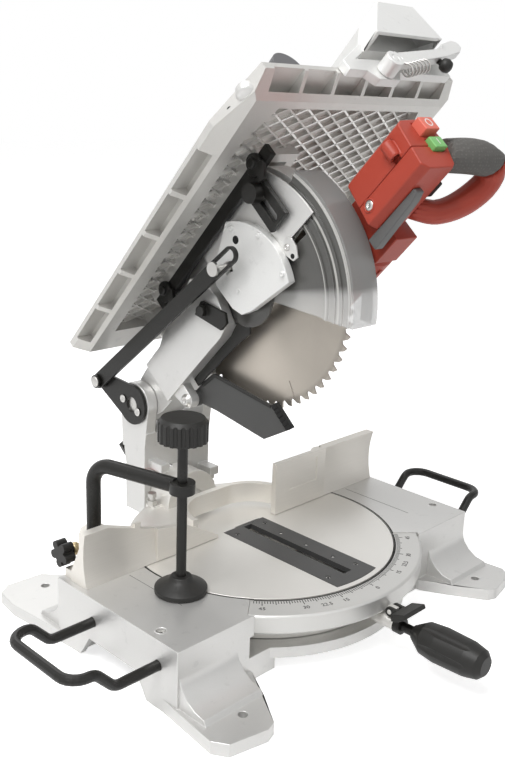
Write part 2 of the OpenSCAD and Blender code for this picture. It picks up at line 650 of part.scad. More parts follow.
// Head: arm with its gear case
module arm_outline() polygon([[-20, -28], [-86, -28], [-86, beam_top], [-30, beam_top], [-14, 22],
  [8, 18], [8, -20]]);
module arm_cheek() polygon([[-80, -28], [-80, beam_top], [-96, 30], [-176, 44], [-190, 30], [-195, 4],
  [-186, -26], [-168, -30]]);
module flap_lug() {
  translate(flap_pivot) circle(d = 18);
  polygon([[flap_pivot[0] - 9, flap_pivot[1]], [flap_pivot[0] - 9, -26], [flap_pivot[0] + 14, -26],
    [flap_pivot[0] + 9, flap_pivot[1]]]);
}
module arm() color(cast_c) on_head() difference() {
  union() {
    rod_x(-ear_in + gap, knuckle_x, 2 * knuckle_r - 2);
    side_plate(-ear_in + gap, knuckle_x) arm_outline();
    side_plate(-36, 24) polygon([[-44, -28], [-86, -28], [-86, beam_top], [-44, beam_top]]);
    side_plate(-36, -guard_left) arm_cheek();
    side_plate(case_in, 44) polygon([[-80, -28], [-80, beam_top], [-arbor_reach, case_r - arbor_drop - 3],
      [-arbor_reach, -case_r - arbor_drop + 3]]);
    side_plate(-32, -guard_left - 3 - gap) flap_lug();
    translate([0, flap_pivot[0], flap_pivot[1]]) rod_x(-32, -guard_left + 5, 8);
    translate([0, -arbor_reach, -arbor_drop]) rod_x(case_in, case_out, 2 * case_r);
    translate([lift_posts[1][0], lift_posts[1][1], 0]) cylinder(d = lift_d + 6, h = lift_posts[1][2]);
    translate([motor_x, 0, -arbor_drop - motor_drop]) {
      rod_y(-motor_back, -motor_back + 20, 2 * motor_r);
      rod_y(-motor_back + 19, -motor_back + 80, 25);
    }
  }
  rod_x(-60, 60, chop_d + 2 * fit);
  translate([0, -arbor_reach, -arbor_drop]) {
    rod_x(-shield_left - 2.5, 0, 2 * hub_out + 6);
    rod_x(0, case_out + 1, arbor_d + 2 * fit);
    rod_x(38, 60, 40);
  }
  translate([motor_x, 0, -arbor_drop - motor_drop]) {
    rod_y(-motor_back - eps, -motor_back + 74, 16 + 2 * fit);
    rod_y(-motor_back + 22, -motor_back + 74, 18);
  }
}
module arm_stop_plate() color(black_c) on_head() {
  side_plate(-36 - 4, -36) polygon([[-158, 10], [-176, 14], [-196, -18], [-190, -27], [-178, -27]]);
  translate([0, -172, 4]) rod_x(-36 - 10, -36 - 4, 12);
}
module upper_guard() color(cast_c) on_arbor() difference() {
  union() {
    intersection() {
      union() {
        arc_x(-2, 360) translate([0, -guard_left]) square([guard_r, guard_t]);
        arc_x(-2, 360) translate([0, guard_right - guard_t]) square([guard_r, guard_t]);
        arc_x(-2, 60) translate([guard_r - guard_t, -guard_left])
          square([guard_t, guard_left + guard_right]);
      }
      block([-30, -160, -2], [30, 122, deck_low - 6 + arbor_drop]);
    }
    intersection() {
      union() {
        arc_x(-2, 130) translate([hub_out + 2, -panel_out]) square([panel_r - hub_out - 2, panel_t]);
        arc_x(panel_from, 127) translate([panel_r - 4, -panel_out + 1])
          square([3.4, panel_out - guard_left]);
        arc_x(panel_from - 0.5, panel_from + 2) translate([hub_out + 8, -panel_out + 1.3])
          square([panel_r - hub_out - 10, panel_out - guard_left]);
      }
      block([-40, -160, -6], [30, 20, deck_low - 6 + arbor_drop]);
    }
    rod_x(-shield_left - 0.5, -guard_left + 1, 2 * hub_r);
  }
  rod_x(-40, 0, hub_hole);
  rod_x(0, 40, flange_d + 6);
  for (a = cover_bosses) translate([0, -56 * cos(a), 56 * sin(a)])
    rod_x(-panel_out - 1, -panel_out + panel_t + 1, 10);
  translate([0, clamp_bolt[0] + arbor_reach, clamp_bolt[1] + arbor_drop])
    rod_x(-panel_out - 1, -guard_left, 8);
}
module cover_outline() intersection() {
  circle(r = cover_r, $fn = 96);
  polygon([[-38, 62], [-90, 62], [-90, -50], [-64, -37], [-4, -25], [10, -19], [16, -6], [18, 26],
    [8, 40]]);
}
module hub_cover() color("#e4e4e2") on_arbor() difference() {
  union() {
    side_plate(-cover_out, -cover_in) cover_outline();
    for (a = cover_bosses) translate([0, -56 * cos(a), 56 * sin(a)]) rod_x(-cover_in - 1, -guard_left, 10);
    for (p = [[-42, 52], [-66, 22], [-64, -26]]) translate([0, p[0], p[1]])
      rod_x(-cover_out - 1.5, -cover_out + 1, 6);
  }
  rod_x(-cover_in - 4, -cover_in + 1, 30);
  arc_x(pin_deg - 8, pin_deg + 18) translate([norm(link_pin) - 5.5, -cover_out - 3]) square([11, 20]);
}

// Head: hinged flap behind the blade
module flap_outline() polygon([[-58, -37], [-84, -37], [-112, -41], [-148, -98], [-160, -116],
  [-160, -148], [-124, -136], [-84, -72]]);
module rear_flap() color(dark_c) on_head() difference() {
  union() {
    side_plate(-guard_left + 1, -guard_left + 4) flap_outline();
    translate([0, flap_pivot[0], flap_pivot[1]]) rod_x(-guard_left - 3, -guard_left + 4, 18);
  }
  translate([0, flap_pivot[0], flap_pivot[1]]) rod_x(-40, 0, 8 + 2 * fit);
}
module flap_strip() color(black_c) on_head() side_plate(-guard_left, -guard_left + 5)
  polygon([[-160, -116], [-168, -118], [-168, -150], [-160, -148]]);

// Head: posts and bolt that carry the upper table
module table_posts() color(steel_c) on_head() for (p = lift_posts)
  translate(p) cylinder(d = lift_d, h = deck_z - 3 - p[2]);
module table_clamp_bolt() color(black_c) on_head() translate([0, clamp_bolt[0], clamp_bolt[1]]) {
  rod_x(-guide_out - 12, -guard_left, 8);
  rod_x(-guide_out - 12, -guide_out - gap, 20);
}

// Head: motor and handle
module motor_axis() on_head() translate([motor_x, 0, -arbor_drop - motor_drop]) children();
module motor_housing() color(red_c) motor_axis() difference() {
  union() {
    rod_y(-motor_front + 12, -motor_back, 2 * motor_r);
    translate([0, -motor_front + 12, 0]) rotate([90, 0, 0]) cylinder(r1 = motor_r,
      r2 = motor_r - 10, h = 12);
    for (a = [0:45:315]) rotate([0, a, 0]) block([motor_r - 3, -motor_front + 18, -2],
      [motor_r + 1.5, -motor_back, 2]);
  }
  difference() {
    rod_y(-motor_front + 7, -motor_back + eps, 2 * motor_r - 8);
    rod_y(-motor_front, -motor_front + 20, 24);
  }
  rod_y(-motor_front + 7, -motor_front + 21, 8 + 2 * fit);
  for (a = [-40:20:40]) rotate([0, a + 90, 0]) block([14, -motor_front - eps, -1.5],
    [23, -motor_front + 8, 1.5]);
}
module armature() color(steel_c) motor_axis() {
  rod_y(-motor_front + 8, -motor_back, 8);
  rod_y(-motor_front + 26, -motor_back - 12, 44);
  rod_y(-motor_back - 9, -motor_back - 3, 60);
  rod_y(-motor_back - 3, -motor_back + 58, 16);
}
// Buttons and trigger in the housing: corners, side clearance and travel
fit_box = [0.3, 0.3, 0.3];
press = 4;
housing_split = -40;
lever_boss = [-1, -436, -36];
stop_lo = [24, -464, -28];
stop_hi = [45, -445, -13];
start_lo = [26, -460, -46];
start_hi = [44, -445, -33];
trigger_lo = [34, -426, -60];
trigger_hi = [60, -408, -46];
module housing_outline() polygon([[4, -13], [12, -8], [46, -6], [52, -12], [54, -40],
  [44, -62], [38, -66], [2, -66], [-6, -60]]);
module housing_part(z0, z1) difference() {
  intersection() {
    front_plate(-455, -375) housing_outline();
    block([-30, -470, z0], [80, -360, z1]);
  }
  block(stop_lo - fit_box, stop_hi + fit_box + [0, press, 0]);
  block(start_lo - fit_box, start_hi + fit_box + [0, press, 0]);
  block(trigger_lo - fit_box - [press, 0, 0], trigger_hi + fit_box);
}
module switch_housing_upper() color(red_c) on_head() {
  difference() {
    union() {
      housing_part(housing_split, 0);
      translate(lever_boss) cylinder(d = 13, h = 17);
    }
    translate(lever_boss) cylinder(d = 7, h = 14, center = true);
  }
}
module switch_housing_lower() color(red_c) on_head() housing_part(-100, housing_split);
module stop_button() color("#e26a5a") on_head() block(stop_lo, stop_hi);
module start_button() color("#78b86a") on_head() block(start_lo, start_hi);
module trigger() color(black_c) on_head() block(trigger_lo, trigger_hi);
module handle_neck() color(dark_c) on_head() {
  block([20, -375, -80], [54, -motor_front, -20]);
  side_plate(3, 15) polygon([[-430, -66], [-360, -66], [-360, -78], [-420, -74], [-430, -71]]);
}
loop_path = [[44, -438, -38], [56, -447, -45], [72, -454, -52], [90, -457, -58], [104, -454, -64],
  [110, -445, -69],
  [108, -433, -72], [97, -418, -74], [82, -406, -74], [64, -397, -71], [44, -392, -56]];
loop_r = [14, 16, 17, 17, 16, 14, 14, 14, 13, 12, 11];
module loop_part(i0, i1) difference() {
  sweep(loop_path, loop_r, 16, i0, i1);
  front_plate(-470, -360) housing_outline();
}
module handle_grip() color("#7d7b77") on_head() loop_part(0, 4);
module handle_loop() color(red_c) on_head() loop_part(4, 10);

// Blade and what turns with it
tooth_deg = 360 / teeth;
module blade_outline() polygon([for (i = [0:teeth - 1]) for (q = [[0, 0], [0.3, 2.2], [0.62, 8],
  [0.86, 6.5]])
  (blade_d / 2 - q[1]) * [cos(tooth_deg * (i + q[0])), sin(tooth_deg * (i + q[0]))]]);
module blade() color(steel_c) on_arbor() side_plate(-blade_t / 2, blade_t / 2) difference() {
  blade_outline();
  circle(d = arbor_d);
  for (a = [20:90:290]) rotate(a) translate([blade_d / 2 - 26, -0.8]) square([20, 1.6]);
}
module blade_flanges() color(steel_c) on_arbor() difference() {
  union() {
    rod_x(-blade_t / 2 - 5, -blade_t / 2, flange_d);
    rod_x(blade_t / 2, blade_t / 2 + 7, flange_d);
  }
  rod_x(-20, 20, arbor_d);
}
module arbor_bolt() color(steel_c) on_arbor() difference() {
  rod_x(-blade_t / 2 - 13, -blade_t / 2 - 5, 24);
  rod_x(-30, -blade_t / 2 - 8, 10);
}
module spindle() color(steel_c) on_arbor() {
  rod_x(-blade_t / 2 - 5, case_out - 2, arbor_d);
  rod_x(40, 58, 37);
}

// Lower guard: see-through shield that turns about the arbor
module shield_section() {
  translate([shield_band, -shield_left]) square([shield_r - shield_band, shield_left - guard_left - gap]);
  translate([shield_r - 4, -shield_left]) square([4, shield_left + shield_right]);
  translate([shield_r - 18, shield_right - shield_t]) square([18, shield_t]);
  for (r = [0:3]) translate([shield_band + 4 + 9 * r, -shield_left - 1.6]) square([2.5, 2]);
}
module lower_guard() color(clear_c, 0.5) on_arbor() {
  arc_x(shield_low, shield_high) shield_section();
  arc_x(shield_low + 0.5, -6) translate([hub_out - 2, -shield_left + 0.3])
    square([shield_band - hub_out + 4, shield_left - guard_left - gap - 0.6]);
  difference() {
    rod_x(-shield_left, -guard_left - gap, 2 * hub_out);
    rod_x(-40, 0, 2 * (hub_r + fit));
  }
}
module guard_pin() color(steel_c) on_arbor() translate([0, link_pin[0], link_pin[1]]) {
  rod_x(-link_x - link_t - 2, -shield_left, link_pin_d);
  rod_x(-link_x - link_t - 4, -link_x - link_t - gap, 15);
}
link_front = [-arbor_reach + link_pin[0], -arbor_drop + link_pin[1]];
module guard_link() color(black_c) on_axis() {
  // Direction of the bar from its rear pivot to the pin, with the head raised
  pin_y = chop_y + link_front[0] * cos(chop_deg) + link_front[1] * sin(chop_deg);
  pin_z = chop_z - link_front[0] * sin(chop_deg) + link_front[1] * cos(chop_deg);
  reach = norm([pin_y - link_at[0], pin_z - link_at[1]]);
  tilt = atan2(pin_z - link_at[1], link_at[0] - pin_y);
  translate([0, link_at[0], link_at[1]]) rotate([-tilt, 0, 0])
    side_plate(-link_x - link_t, -link_x - 0.1) difference() {
    union() {
      translate([-reach - link_slot, -link_w / 2]) square([reach + link_slot, link_w]);
      circle(d = link_w);
      translate([-reach - link_slot, 0]) circle(d = link_w);
    }
    circle(d = 10 + 2 * fit);
    translate([-reach - link_slot, -slot_w / 2]) square([link_slot + 1, slot_w]);
    translate([-reach - link_slot, 0]) circle(d = slot_w);
    translate([-reach + 1, 0]) circle(d = slot_w);
  }
}

// Upper table
module deck_outline(inset) polygon([[-deck_left + inset, -deck_back - inset],
  [deck_right - inset, -deck_back - inset],
  [deck_right - inset, -deck_front + deck_chamfer + inset / 4],
    [deck_right - deck_front_in - inset, -deck_front + inset],
  [-deck_left + deck_front_in + inset, -deck_front + inset], [-deck_left + inset,
    -deck_front + deck_chamfer + inset / 4]]);
module rib_lattice() intersection() {
  deck_outline(slope_front);
  union() for (i = [-9:9], a = [-rib_deg, rib_deg])
    translate([deck_right - deck_left, -deck_front] / 2) rotate(a) translate([0, rib_pitch * i])
      square([760, rib_t], center = true);
}
module slot_cut(inset, z0) translate([-deck_slot_w / 2 + inset, deck_slot[0] + inset,
  z0 - (inset > 0 ? 1 : 0)])
  cube([deck_slot_w - 2 * inset, deck_slot[1] - deck_slot[0] - 2 * inset, deck_h + 2]);
// Outline of the cut that slopes an edge inwards below the top: run back from the edge at 0
module edge_slope(run) polygon([[-1, deck_z - deck_t - 2], [-1, deck_low - 1], [run, deck_low - 1]]);
module edge_cuts() {
  front_plate(-deck_front - 1, 0) translate([-deck_left, 0]) edge_slope(slope_side);
  front_plate(-deck_front - 1, 0) translate([deck_right, 0]) mirror([1, 0]) edge_slope(slope_side);
  side_plate(-deck_left - 1, deck_right + 1) translate([-deck_front, 0]) edge_slope(slope_front);
}
module upper_table() color(cast_c) on_head() difference() {
  union() {
    translate([0, 0, deck_z - deck_t]) linear_extrude(deck_t) deck_outline(0);
    translate([0, 0, deck_low]) linear_extrude(deck_h - deck_t + eps) difference() {
      deck_outline(0);
      deck_outline(slope_front + 6);
    }
    translate([0, 0, deck_z - deck_t - rib_h]) linear_extrude(rib_h + eps) rib_lattice();
    for (p = lift_posts) translate([p[0], p[1], deck_low]) cylinder(d = lift_d + 16, h = deck_h);
    translate([-deck_slot_w / 2 - wall, deck_slot[0] - wall, deck_low])
      cube([deck_slot_w + 2 * wall, deck_slot[1] - deck_slot[0] + 2 * wall, deck_h - 1]);
  }
  edge_cuts();
  for (p = lift_posts) translate([p[0], p[1], deck_low - eps])
    cylinder(d = lift_d + 2 * fit, h = deck_h - 1);
  slot_cut(0, deck_z - insert_plate);
  slot_cut(ledge, deck_low);
  for (i = [0:5]) translate([-deck_left + deck_front_in + 12 + i * 45, -deck_front - eps, deck_low + 3])
    cube([40, slope_front, deck_h - deck_t - 3]);
  for (i = [0:4], x = [-deck_left - eps, deck_right - slope_side + eps])
    translate([x, -deck_back - 70 - i * 60, deck_low + 3]) cube([slope_side, 54, deck_h - deck_t - 3]);
}
module table_insert() color(steel_c) on_head() translate([0, 0, deck_z - insert_plate])
  linear_extrude(insert_plate) difference() {
  translate([-deck_slot_w / 2 + 0.2, deck_slot[0] + 0.2]) square([deck_slot_w - 0.4,
    deck_slot[1] - deck_slot[0] - 0.4]);
  translate([-5, deck_slot[0] + 12]) square([10, deck_slot[1] - deck_slot[0] - 24]);
}
module table_guide_bar() color(black_c) on_head() side_plate(-guide_out, -guide_out + 6) difference() {
  union() {
    translate([-352, deck_low - 14]) square([240, 14]);
    translate([-326, 1]) square([28, deck_low - 3]);
    translate([-136, deck_low - 26]) square([18, 20]);
  }
  translate([clamp_bolt[0], 9]) circle(d = 8.4);
  translate(clamp_bolt) circle(d = 8.4);
  translate([clamp_bolt[0] - 4.2, 9]) square([8.4, clamp_bolt[1] - 9]);
}
module edge_stop() color("#6f6f72") on_head() translate([-45, -deck_front + 6, deck_z])
  front_plate(-4, 4) intersection() {
  circle(d = 34);
  translate([-20, 0]) square([40, 20]);
}

// Rip fence on the upper table: a bar, a bracket at the front edge, and a hood over its lever
rip_x = 112;
rip_h = 62;
hood_low = 14;
hood_l = 34;
bracket_t = 10;
lever_pivot = [-40, deck_z - 14];
lever_boss_d = 20;
module bar_section(t) polygon([[-10 + t, t], [52 - t, t], [52 - t, rip_h - t], [-8 + t, rip_h - t]]);
module hood_section(t) polygon([[-49 + 1.3 * t, hood_low], [-49 + 1.3 * t, hood_low + 3 - t / 2],
  [-8 + t / 2, rip_h - t], [52 - t, rip_h - t], [59 - t, hood_low + 3], [59 - t, hood_low]]);
module rip_fence() color("#e2e2e0") on_head() translate([rip_x, 0, 0]) {
  difference() {
    front_plate(-deck_front - bracket_t, -deck_front - gap) polygon([[-92, deck_z - 13], [-92, deck_z],
      [-49, deck_z + 24], [56, deck_z + 24], [74, deck_z + 10], [74, deck_z - 13],
      [lever_pivot[0] + 26, deck_z - 13], [lever_pivot[0] + 16, deck_z - 24],
      [lever_pivot[0] - 16, deck_z - 24], [lever_pivot[0] - 26, deck_z - 13]]);
    front_plate(-deck_front - 20, -deck_front + 10) polygon([[-70, deck_z + 3], [-46, deck_z + 16],
      [50, deck_z + 16], [58, deck_z + 3]]);
  }
  translate([0, 0, deck_z + 0.3]) difference() {
    union() {
      front_plate(-deck_front - 2, -64) bar_section(0);
      front_plate(-deck_front - hood_l, -deck_front - 1) hood_section(0);
    }
    front_plate(-deck_front + 4, -60) bar_section(4);
    translate([0, 0, -1]) front_plate(-deck_front - hood_l + 4, -deck_front - bracket_t - 1) hood_section(4);
  }
  translate([lever_pivot[0], 0, lever_pivot[1]]) rod_y(-deck_front - 28, -deck_front - bracket_t + 1, 8);
}
module rip_lever() color("#d8d8d6") on_head() translate([rip_x + lever_pivot[0], 0, lever_pivot[1]])
  difference() {
  union() {
    rod_y(-deck_front - 28, -deck_front - bracket_t - gap, lever_boss_d);
    front_plate(-deck_front - 27, -deck_front - 17) polygon([[-3, -8], [100, 11], [132, 20], [143, 28],
      [142, 36], [132, 38], [108, 31], [100, 23], [0, 8]]);
  }
  rod_y(-deck_front - 40, -deck_front, 8 + 2 * fit);
}

base_casting();
mitre_scale();
fence();
fence_screws();
pivot_bolt();
bow_screws();
support_bow_left();
support_bow_right();
clamp_post();
clamp_screw();
clamp_knob();
clamp_pad();
post_lock_knob();
turntable();
kerf_insert();
insert_screws();
bevel_stops();
bevel_scale();
bevel_bolt();
mitre_handle_rod();
mitre_handle_grip();
detent_lever();
tilt_bracket();
chop_shaft();
link_bracket();
bevel_pointer();
bevel_lock_lever();
return_spring();
arm();
upper_guard();
hub_cover();
rear_flap();
flap_strip();
arm_stop_plate();
table_posts();
table_clamp_bolt();
motor_housing();
armature();
switch_housing_upper();
switch_housing_lower();
handle_neck();
handle_loop();
handle_grip();
start_button();
stop_button();
trigger();
lower_guard();
guard_pin();
guard_link();
blade();
blade_flanges();
arbor_bolt();
spindle();
upper_table();
table_insert();
table_guide_bar();
edge_stop();
rip_fence();
rip_lever();
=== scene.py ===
"""Looks of a table-top mitre saw: finishes for the solids, with scales, screws and moulded detail on them."""
import json
import math

import bmesh
import bpy
from mathutils import Matrix, Vector


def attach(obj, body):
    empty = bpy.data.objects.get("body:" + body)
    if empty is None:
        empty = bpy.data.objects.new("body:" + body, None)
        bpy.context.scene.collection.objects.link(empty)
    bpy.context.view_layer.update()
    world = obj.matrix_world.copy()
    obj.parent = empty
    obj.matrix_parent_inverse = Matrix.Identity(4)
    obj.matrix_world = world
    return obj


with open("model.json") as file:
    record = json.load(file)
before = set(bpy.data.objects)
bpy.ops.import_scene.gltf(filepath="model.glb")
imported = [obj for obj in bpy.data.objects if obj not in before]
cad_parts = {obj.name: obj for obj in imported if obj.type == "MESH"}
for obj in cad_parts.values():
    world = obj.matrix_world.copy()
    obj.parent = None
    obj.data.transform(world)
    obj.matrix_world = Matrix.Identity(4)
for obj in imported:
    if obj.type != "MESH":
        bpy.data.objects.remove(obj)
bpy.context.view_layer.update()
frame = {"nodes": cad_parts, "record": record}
nodes = frame["nodes"]
MM = 0.001

# Places on the saw, in millimetres: the turntable axis, the chop pivot that the raised head is drawn about,
# and faces that trim sits on
AXIS_Y = 10.0
PIVOT = (0.0, 180.0, 187.0)
RAISED = math.radians(-48)
ARBOR = (0.0, -220.0, -13.0)
TABLE_H = 70.0
SCALE_TOP = 69.0
LINK_REAR = (226.0, 204.0)
LINK_FACE = -59
BRACKET_SCREWS = [(158.0, 181.0), (185.0, 191.0)]
BRACKET_FACE = -49.5
COVER_FACE = -35.0
PANEL_FACE = -25.4
DECK_UNDER = 79.0
HEAD_TURN = Matrix.Rotation(RAISED, 3, "X")


def on_axis(x, y, z):
    return Vector((x, y + AXIS_Y, z)) * MM


def on_head(x, y, z):
    return (HEAD_TURN @ Vector((x, y, z)) + Vector(PIVOT)) * MM


def on_arbor(x, y, z):
    return on_head(x + ARBOR[0], y + ARBOR[1], z + ARBOR[2])


def head_way(x, y, z):
    """A direction of the level head, as it points on the raised head."""
    return HEAD_TURN @ Vector((x, y, z))


LEFT = Vector((-1, 0, 0))
UP = Vector((0, 0, 1))


class Sock:
    """A shader socket that joins in Python expressions; each operator adds a Math node."""

    def __init__(self, nodes, socket):
        self.nodes = nodes
        self.socket = socket

    def _math(self, operation, a, b=None):
        sockets = {0: a} if b is None else {0: a, 1: b}
        return self.nodes.make("ShaderNodeMath", {"operation": operation}, sockets)

    def __add__(self, other):
        return self._math("ADD", self, other)

    __radd__ = __add__

    def __sub__(self, other):
        return self._math("SUBTRACT", self, other)

    def __rsub__(self, other):
        return self._math("SUBTRACT", other, self)

    def __mul__(self, other):
        return self._math("MULTIPLY", self, other)

    def __pow__(self, other):
        return self._math("POWER", self, other)

    def highest(self, other):
        return self._math("MAXIMUM", self, other)

    def clamp(self):
        return self._math("MINIMUM", self.highest(0.0), 1.0)

    def wave(self):
        return self._math("SINE", self)

    def over(self, level, soft):
        """1 where the value is above level, softened over soft."""
        return self.nodes.make("ShaderNodeMapRange", {"interpolation_type": "SMOOTHSTEP"},
                               {"Value": self, "From Min": level - soft, "From Max": level + soft})


class Nodes:
    """A node tree that expressions add to."""

    def __init__(self, tree):
        self.tree = tree

    def make(self, kind, settings, sockets, out=0):
        """Adds a node: its settings first, then the values or links of its sockets."""
        node = self.tree.nodes.new(kind)
        for key, value in settings.items():
            setattr(node, key, value)
        for key, value in sockets.items():
            if isinstance(value, Sock):
                self.tree.links.new(value.socket, node.inputs[key])
            else:
                node.inputs[key].default_value = value
        return Sock(self, node.outputs[out]) if node.outputs else None


class Finish(Nodes):
    """One material: a Principled shader and the nodes that vary it."""

    def __init__(self, name, **constant):
        self.material = bpy.data.materials.new(name)
        self.material.use_nodes = True
        super().__init__(self.material.node_tree)
        self.shader = self.tree.nodes["Principled BSDF"]
        for key, value in constant.items():
            self.set(key.replace("_", " "), value)
        self.where = self.make("ShaderNodeTexCoord", {}, {}, "Object")

    def set(self, name, value):
        if isinstance(value, Sock):
            self.tree.links.new(value.socket, self.shader.inputs[name])
        else:
            self.shader.inputs[name].default_value = value

    def stretched(self, x, y, z):
        return self.make("ShaderNodeVectorMath", {"operation": "MULTIPLY"}, {0: self.where, 1: (x, y, z)})

    def noise(self, scale, detail=3.0, rough=0.55, at=None):
        sockets = {"Vector": at or self.where, "Scale": scale, "Detail": detail, "Roughness": rough}
        return self.make("ShaderNodeTexNoise", {}, sockets, "Fac")

    def along(self, value):
        """Fine lines across one value, such as a radius."""
        return self.noise(1.0, 1.5, 0.5, self.make("ShaderNodeCombineXYZ", {}, {0: value}))

    def part(self, axis):
        return self.make("ShaderNodeSeparateXYZ", {}, {0: self.where}, axis)

    def blend(self, amount, first, second):
        def colour(value):
            return (*value, 1.0) if isinstance(value, tuple) else value
        return self.make("ShaderNodeMix", {"data_type": "RGBA"},
                         {"Factor": amount, 6: colour(first), 7: colour(second)}, 2)

    def bump(self, height, strength, depth):
        sockets = {"Strength": strength, "Distance": depth, "Height": height}
        self.set("Normal", self.make("ShaderNodeBump", {}, sockets))

    def steps_from(self, centre, axes):
        return [self.part(axis) - centre["XYZ".index(axis)] for axis in axes]

    def radius(self, centre, axes):
        """Distance from a line through centre, in metres, across the two axes named."""
        a, b = self.steps_from(centre, axes)
        return (a * a + b * b) ** 0.5

    def bearing(self, centre, axes):
        """Angle round a line through centre, in radians, from the first axis to the second."""
        a, b = self.steps_from(centre, axes)
        return self.make("ShaderNodeMath", {"operation": "ARCTAN2"}, {0: b, 1: a})


def shade(colour, factor):
    return tuple(min(1.0, c * factor) for c in colour)


def cast_metal(name, colour, rough=0.42, metal=0.5):
    """Sand-cast or die-cast metal: a cloudy tone, a fine grain and a few darker rubs."""
    f = Finish(name, Metallic=metal, Specular_IOR_Level=0.5)
    cloud, grain, rub = f.noise(22.0), f.noise(1300.0, 2.0), f.noise(70.0, 5.0, 0.65)
    tone = f.blend((cloud * 0.55 + grain * 0.5 - 0.05).clamp(), shade(colour, 0.9), shade(colour, 1.06))
    f.set("Base Color", f.blend(rub.over(0.66, 0.07) * 0.35, tone, shade(colour, 0.72)))
    f.set("Roughness", rough - 0.06 + cloud * 0.1 + grain * 0.06)
    f.bump(grain * 0.7 + f.noise(260.0) * 0.6, 0.2, 0.0004)
    return f.material


def turned_plate(name, colour, centre, rough=0.34, metal=0.6):
    """A face machined in the lathe: fine rings, and the fan of light that they throw."""
    f = Finish(name, Metallic=metal)
    cloud, fine = f.noise(14.0), f.noise(900.0, 2.0)
    rings = f.along(f.radius(centre, "XY") * 2600.0)
    fan = (f.bearing(centre, "XY") * 2.0 + 0.9).wave() * 0.5 + 0.5
    tone = (cloud * 0.3 + rings * 0.3 + fine * 0.1 + fan * 0.3).clamp()
    f.set("Base Color", f.blend(tone, shade(colour, 0.84), shade(colour, 1.12)))
    f.set("Roughness", rough - 0.06 + rings * 0.12 + cloud * 0.06)
    f.bump(rings * 0.8 + fine * 0.3, 0.14, 0.0003)
    return f.material


def milled_plate(name, colour, rough=0.36, metal=0.55):
    """A milled face: straight tool lines."""
    f = Finish(name, Metallic=metal)
    cloud, fine = f.noise(16.0), f.noise(900.0, 2.0)
    lines = f.noise(1.0, 2.0, 0.5, f.stretched(24.0, 900.0, 900.0))
    tone = (cloud * 0.5 + lines * 0.35 + fine * 0.15).clamp()
    f.set("Base Color", f.blend(tone, shade(colour, 0.88), shade(colour, 1.08)))
    f.set("Roughness", rough - 0.08 + lines * 0.14 + cloud * 0.08)
    f.bump(lines * 0.8 + fine * 0.3, 0.14, 0.0003)
    return f.material


def bright_steel(name, colour, rough=0.28):
    """Plated or drawn steel: a cloudy tone and fine streaks."""
    f = Finish(name, Metallic=0.9)
    cloud, streak = f.noise(60.0), f.noise(1.0, 2.0, 0.5, f.stretched(180.0, 1800.0, 1800.0))
    tone = (cloud * 0.6 + streak * 0.4).clamp()
    f.set("Base Color", f.blend(tone, shade(colour, 0.82), shade(colour, 1.1)))
    f.set("Roughness", rough - 0.05 + streak * 0.12 + cloud * 0.06)
    f.bump(streak, 0.12, 0.0002)
    return f.material


# Radii round the arbor, in metres: the blade's stained rim and its teeth; the shield's ridged band and clear rim,
# painted pale as a highlight
STAIN_R = 0.116
TOOTH_R = 0.1205
BAND_R = 0.105
FIRST_RIDGE_R = 0.1075
RIDGE_PITCH = 0.0148
RIM_R = 0.1365


def ground_blade(name, colour):
    """Ground disc: rings from the wheel, fans of light, and paler carbide at the teeth."""
    f = Finish(name, Metallic=0.8)
    centre = on_head(*ARBOR)
    r = f.radius(centre, "YZ")
    rings, cloud = f.along(r * 1800.0), f.noise(22.0)
    fan = ((f.bearing(centre, "YZ") * 3.0 + 0.4).wave() * 0.5 + 0.5) ** 2.0
    body = f.blend((cloud * 0.3 + rings * 0.2 + fan * 0.5).clamp(), shade(colour, 0.7), shade(colour, 1.34))
    stain = f.blend(r.over(STAIN_R, 0.0025) * 0.55, body, shade(colour, 0.62))
    f.set("Base Color", f.blend(r.over(TOOTH_R, 0.0006) * 0.4, stain, shade(colour, 1.15)))
    f.set("Roughness", 0.3 + rings * 0.12 + cloud * 0.08)
    f.bump(rings, 0.12, 0.0002)
    return f.material


def powder_coat(name, colour, rough=0.42):
    """Black powder coat: orange peel, and paler rubbed patches."""
    f = Finish(name, Specular_IOR_Level=0.32)
    cloud, peel = f.noise(45.0), f.noise(700.0, 2.0)
    rub = (cloud * peel).over(0.36, 0.05)
    coat = f.blend(peel, shade(colour, 0.8), shade(colour, 1.25))
    f.set("Base Color", f.blend(rub * 0.5, coat, shade(colour, 2.2)))
    f.set("Roughness", rough - 0.06 + peel * 0.1 + cloud * 0.06)
    f.bump(peel, 0.18, 0.0004)
    return f.material


def moulded(name, colour, rough=0.5, grain_scale=1500.0):
    """Moulded plastic: fine spark-eroded grain and a slightly uneven tone."""
    f = Finish(name, Specular_IOR_Level=0.36)
    cloud, grain = f.noise(20.0), f.noise(grain_scale, 2.0)
    tone = (cloud * 0.6 + grain * 0.4).clamp()
    f.set("Base Color", f.blend(tone, shade(colour, 0.86), shade(colour, 1.12)))
    f.set("Roughness", rough - 0.05 + grain * 0.08 + cloud * 0.06)
    f.bump(grain, 0.2, 0.0003)
    return f.material


def dotted_grip(name, colour):
    """Soft grip with rows of small raised dots, and painted shade on the ground between them."""
    f = Finish(name, Specular_IOR_Level=0.35)
    rows = {"Vector": f.where, "Scale": 330.0, "Randomness": 0.1}
    dots = f.make("ShaderNodeTexVoronoi", {"feature": "F1"}, rows, "Distance")
    raised = 1.0 - dots.over(0.32, 0.1)
    cloud = f.noise(40.0)
    top = f.blend(cloud, colour, shade(colour, 1.2))
    # The ground between the raised dots is painted darker as shade
    f.set("Base Color", f.blend(raised * 0.6, shade(colour, 0.78), top))
    f.set("Roughness", 0.6 + cloud * 0.12)
    f.bump(raised, 0.4, 0.0006)
    return f.material


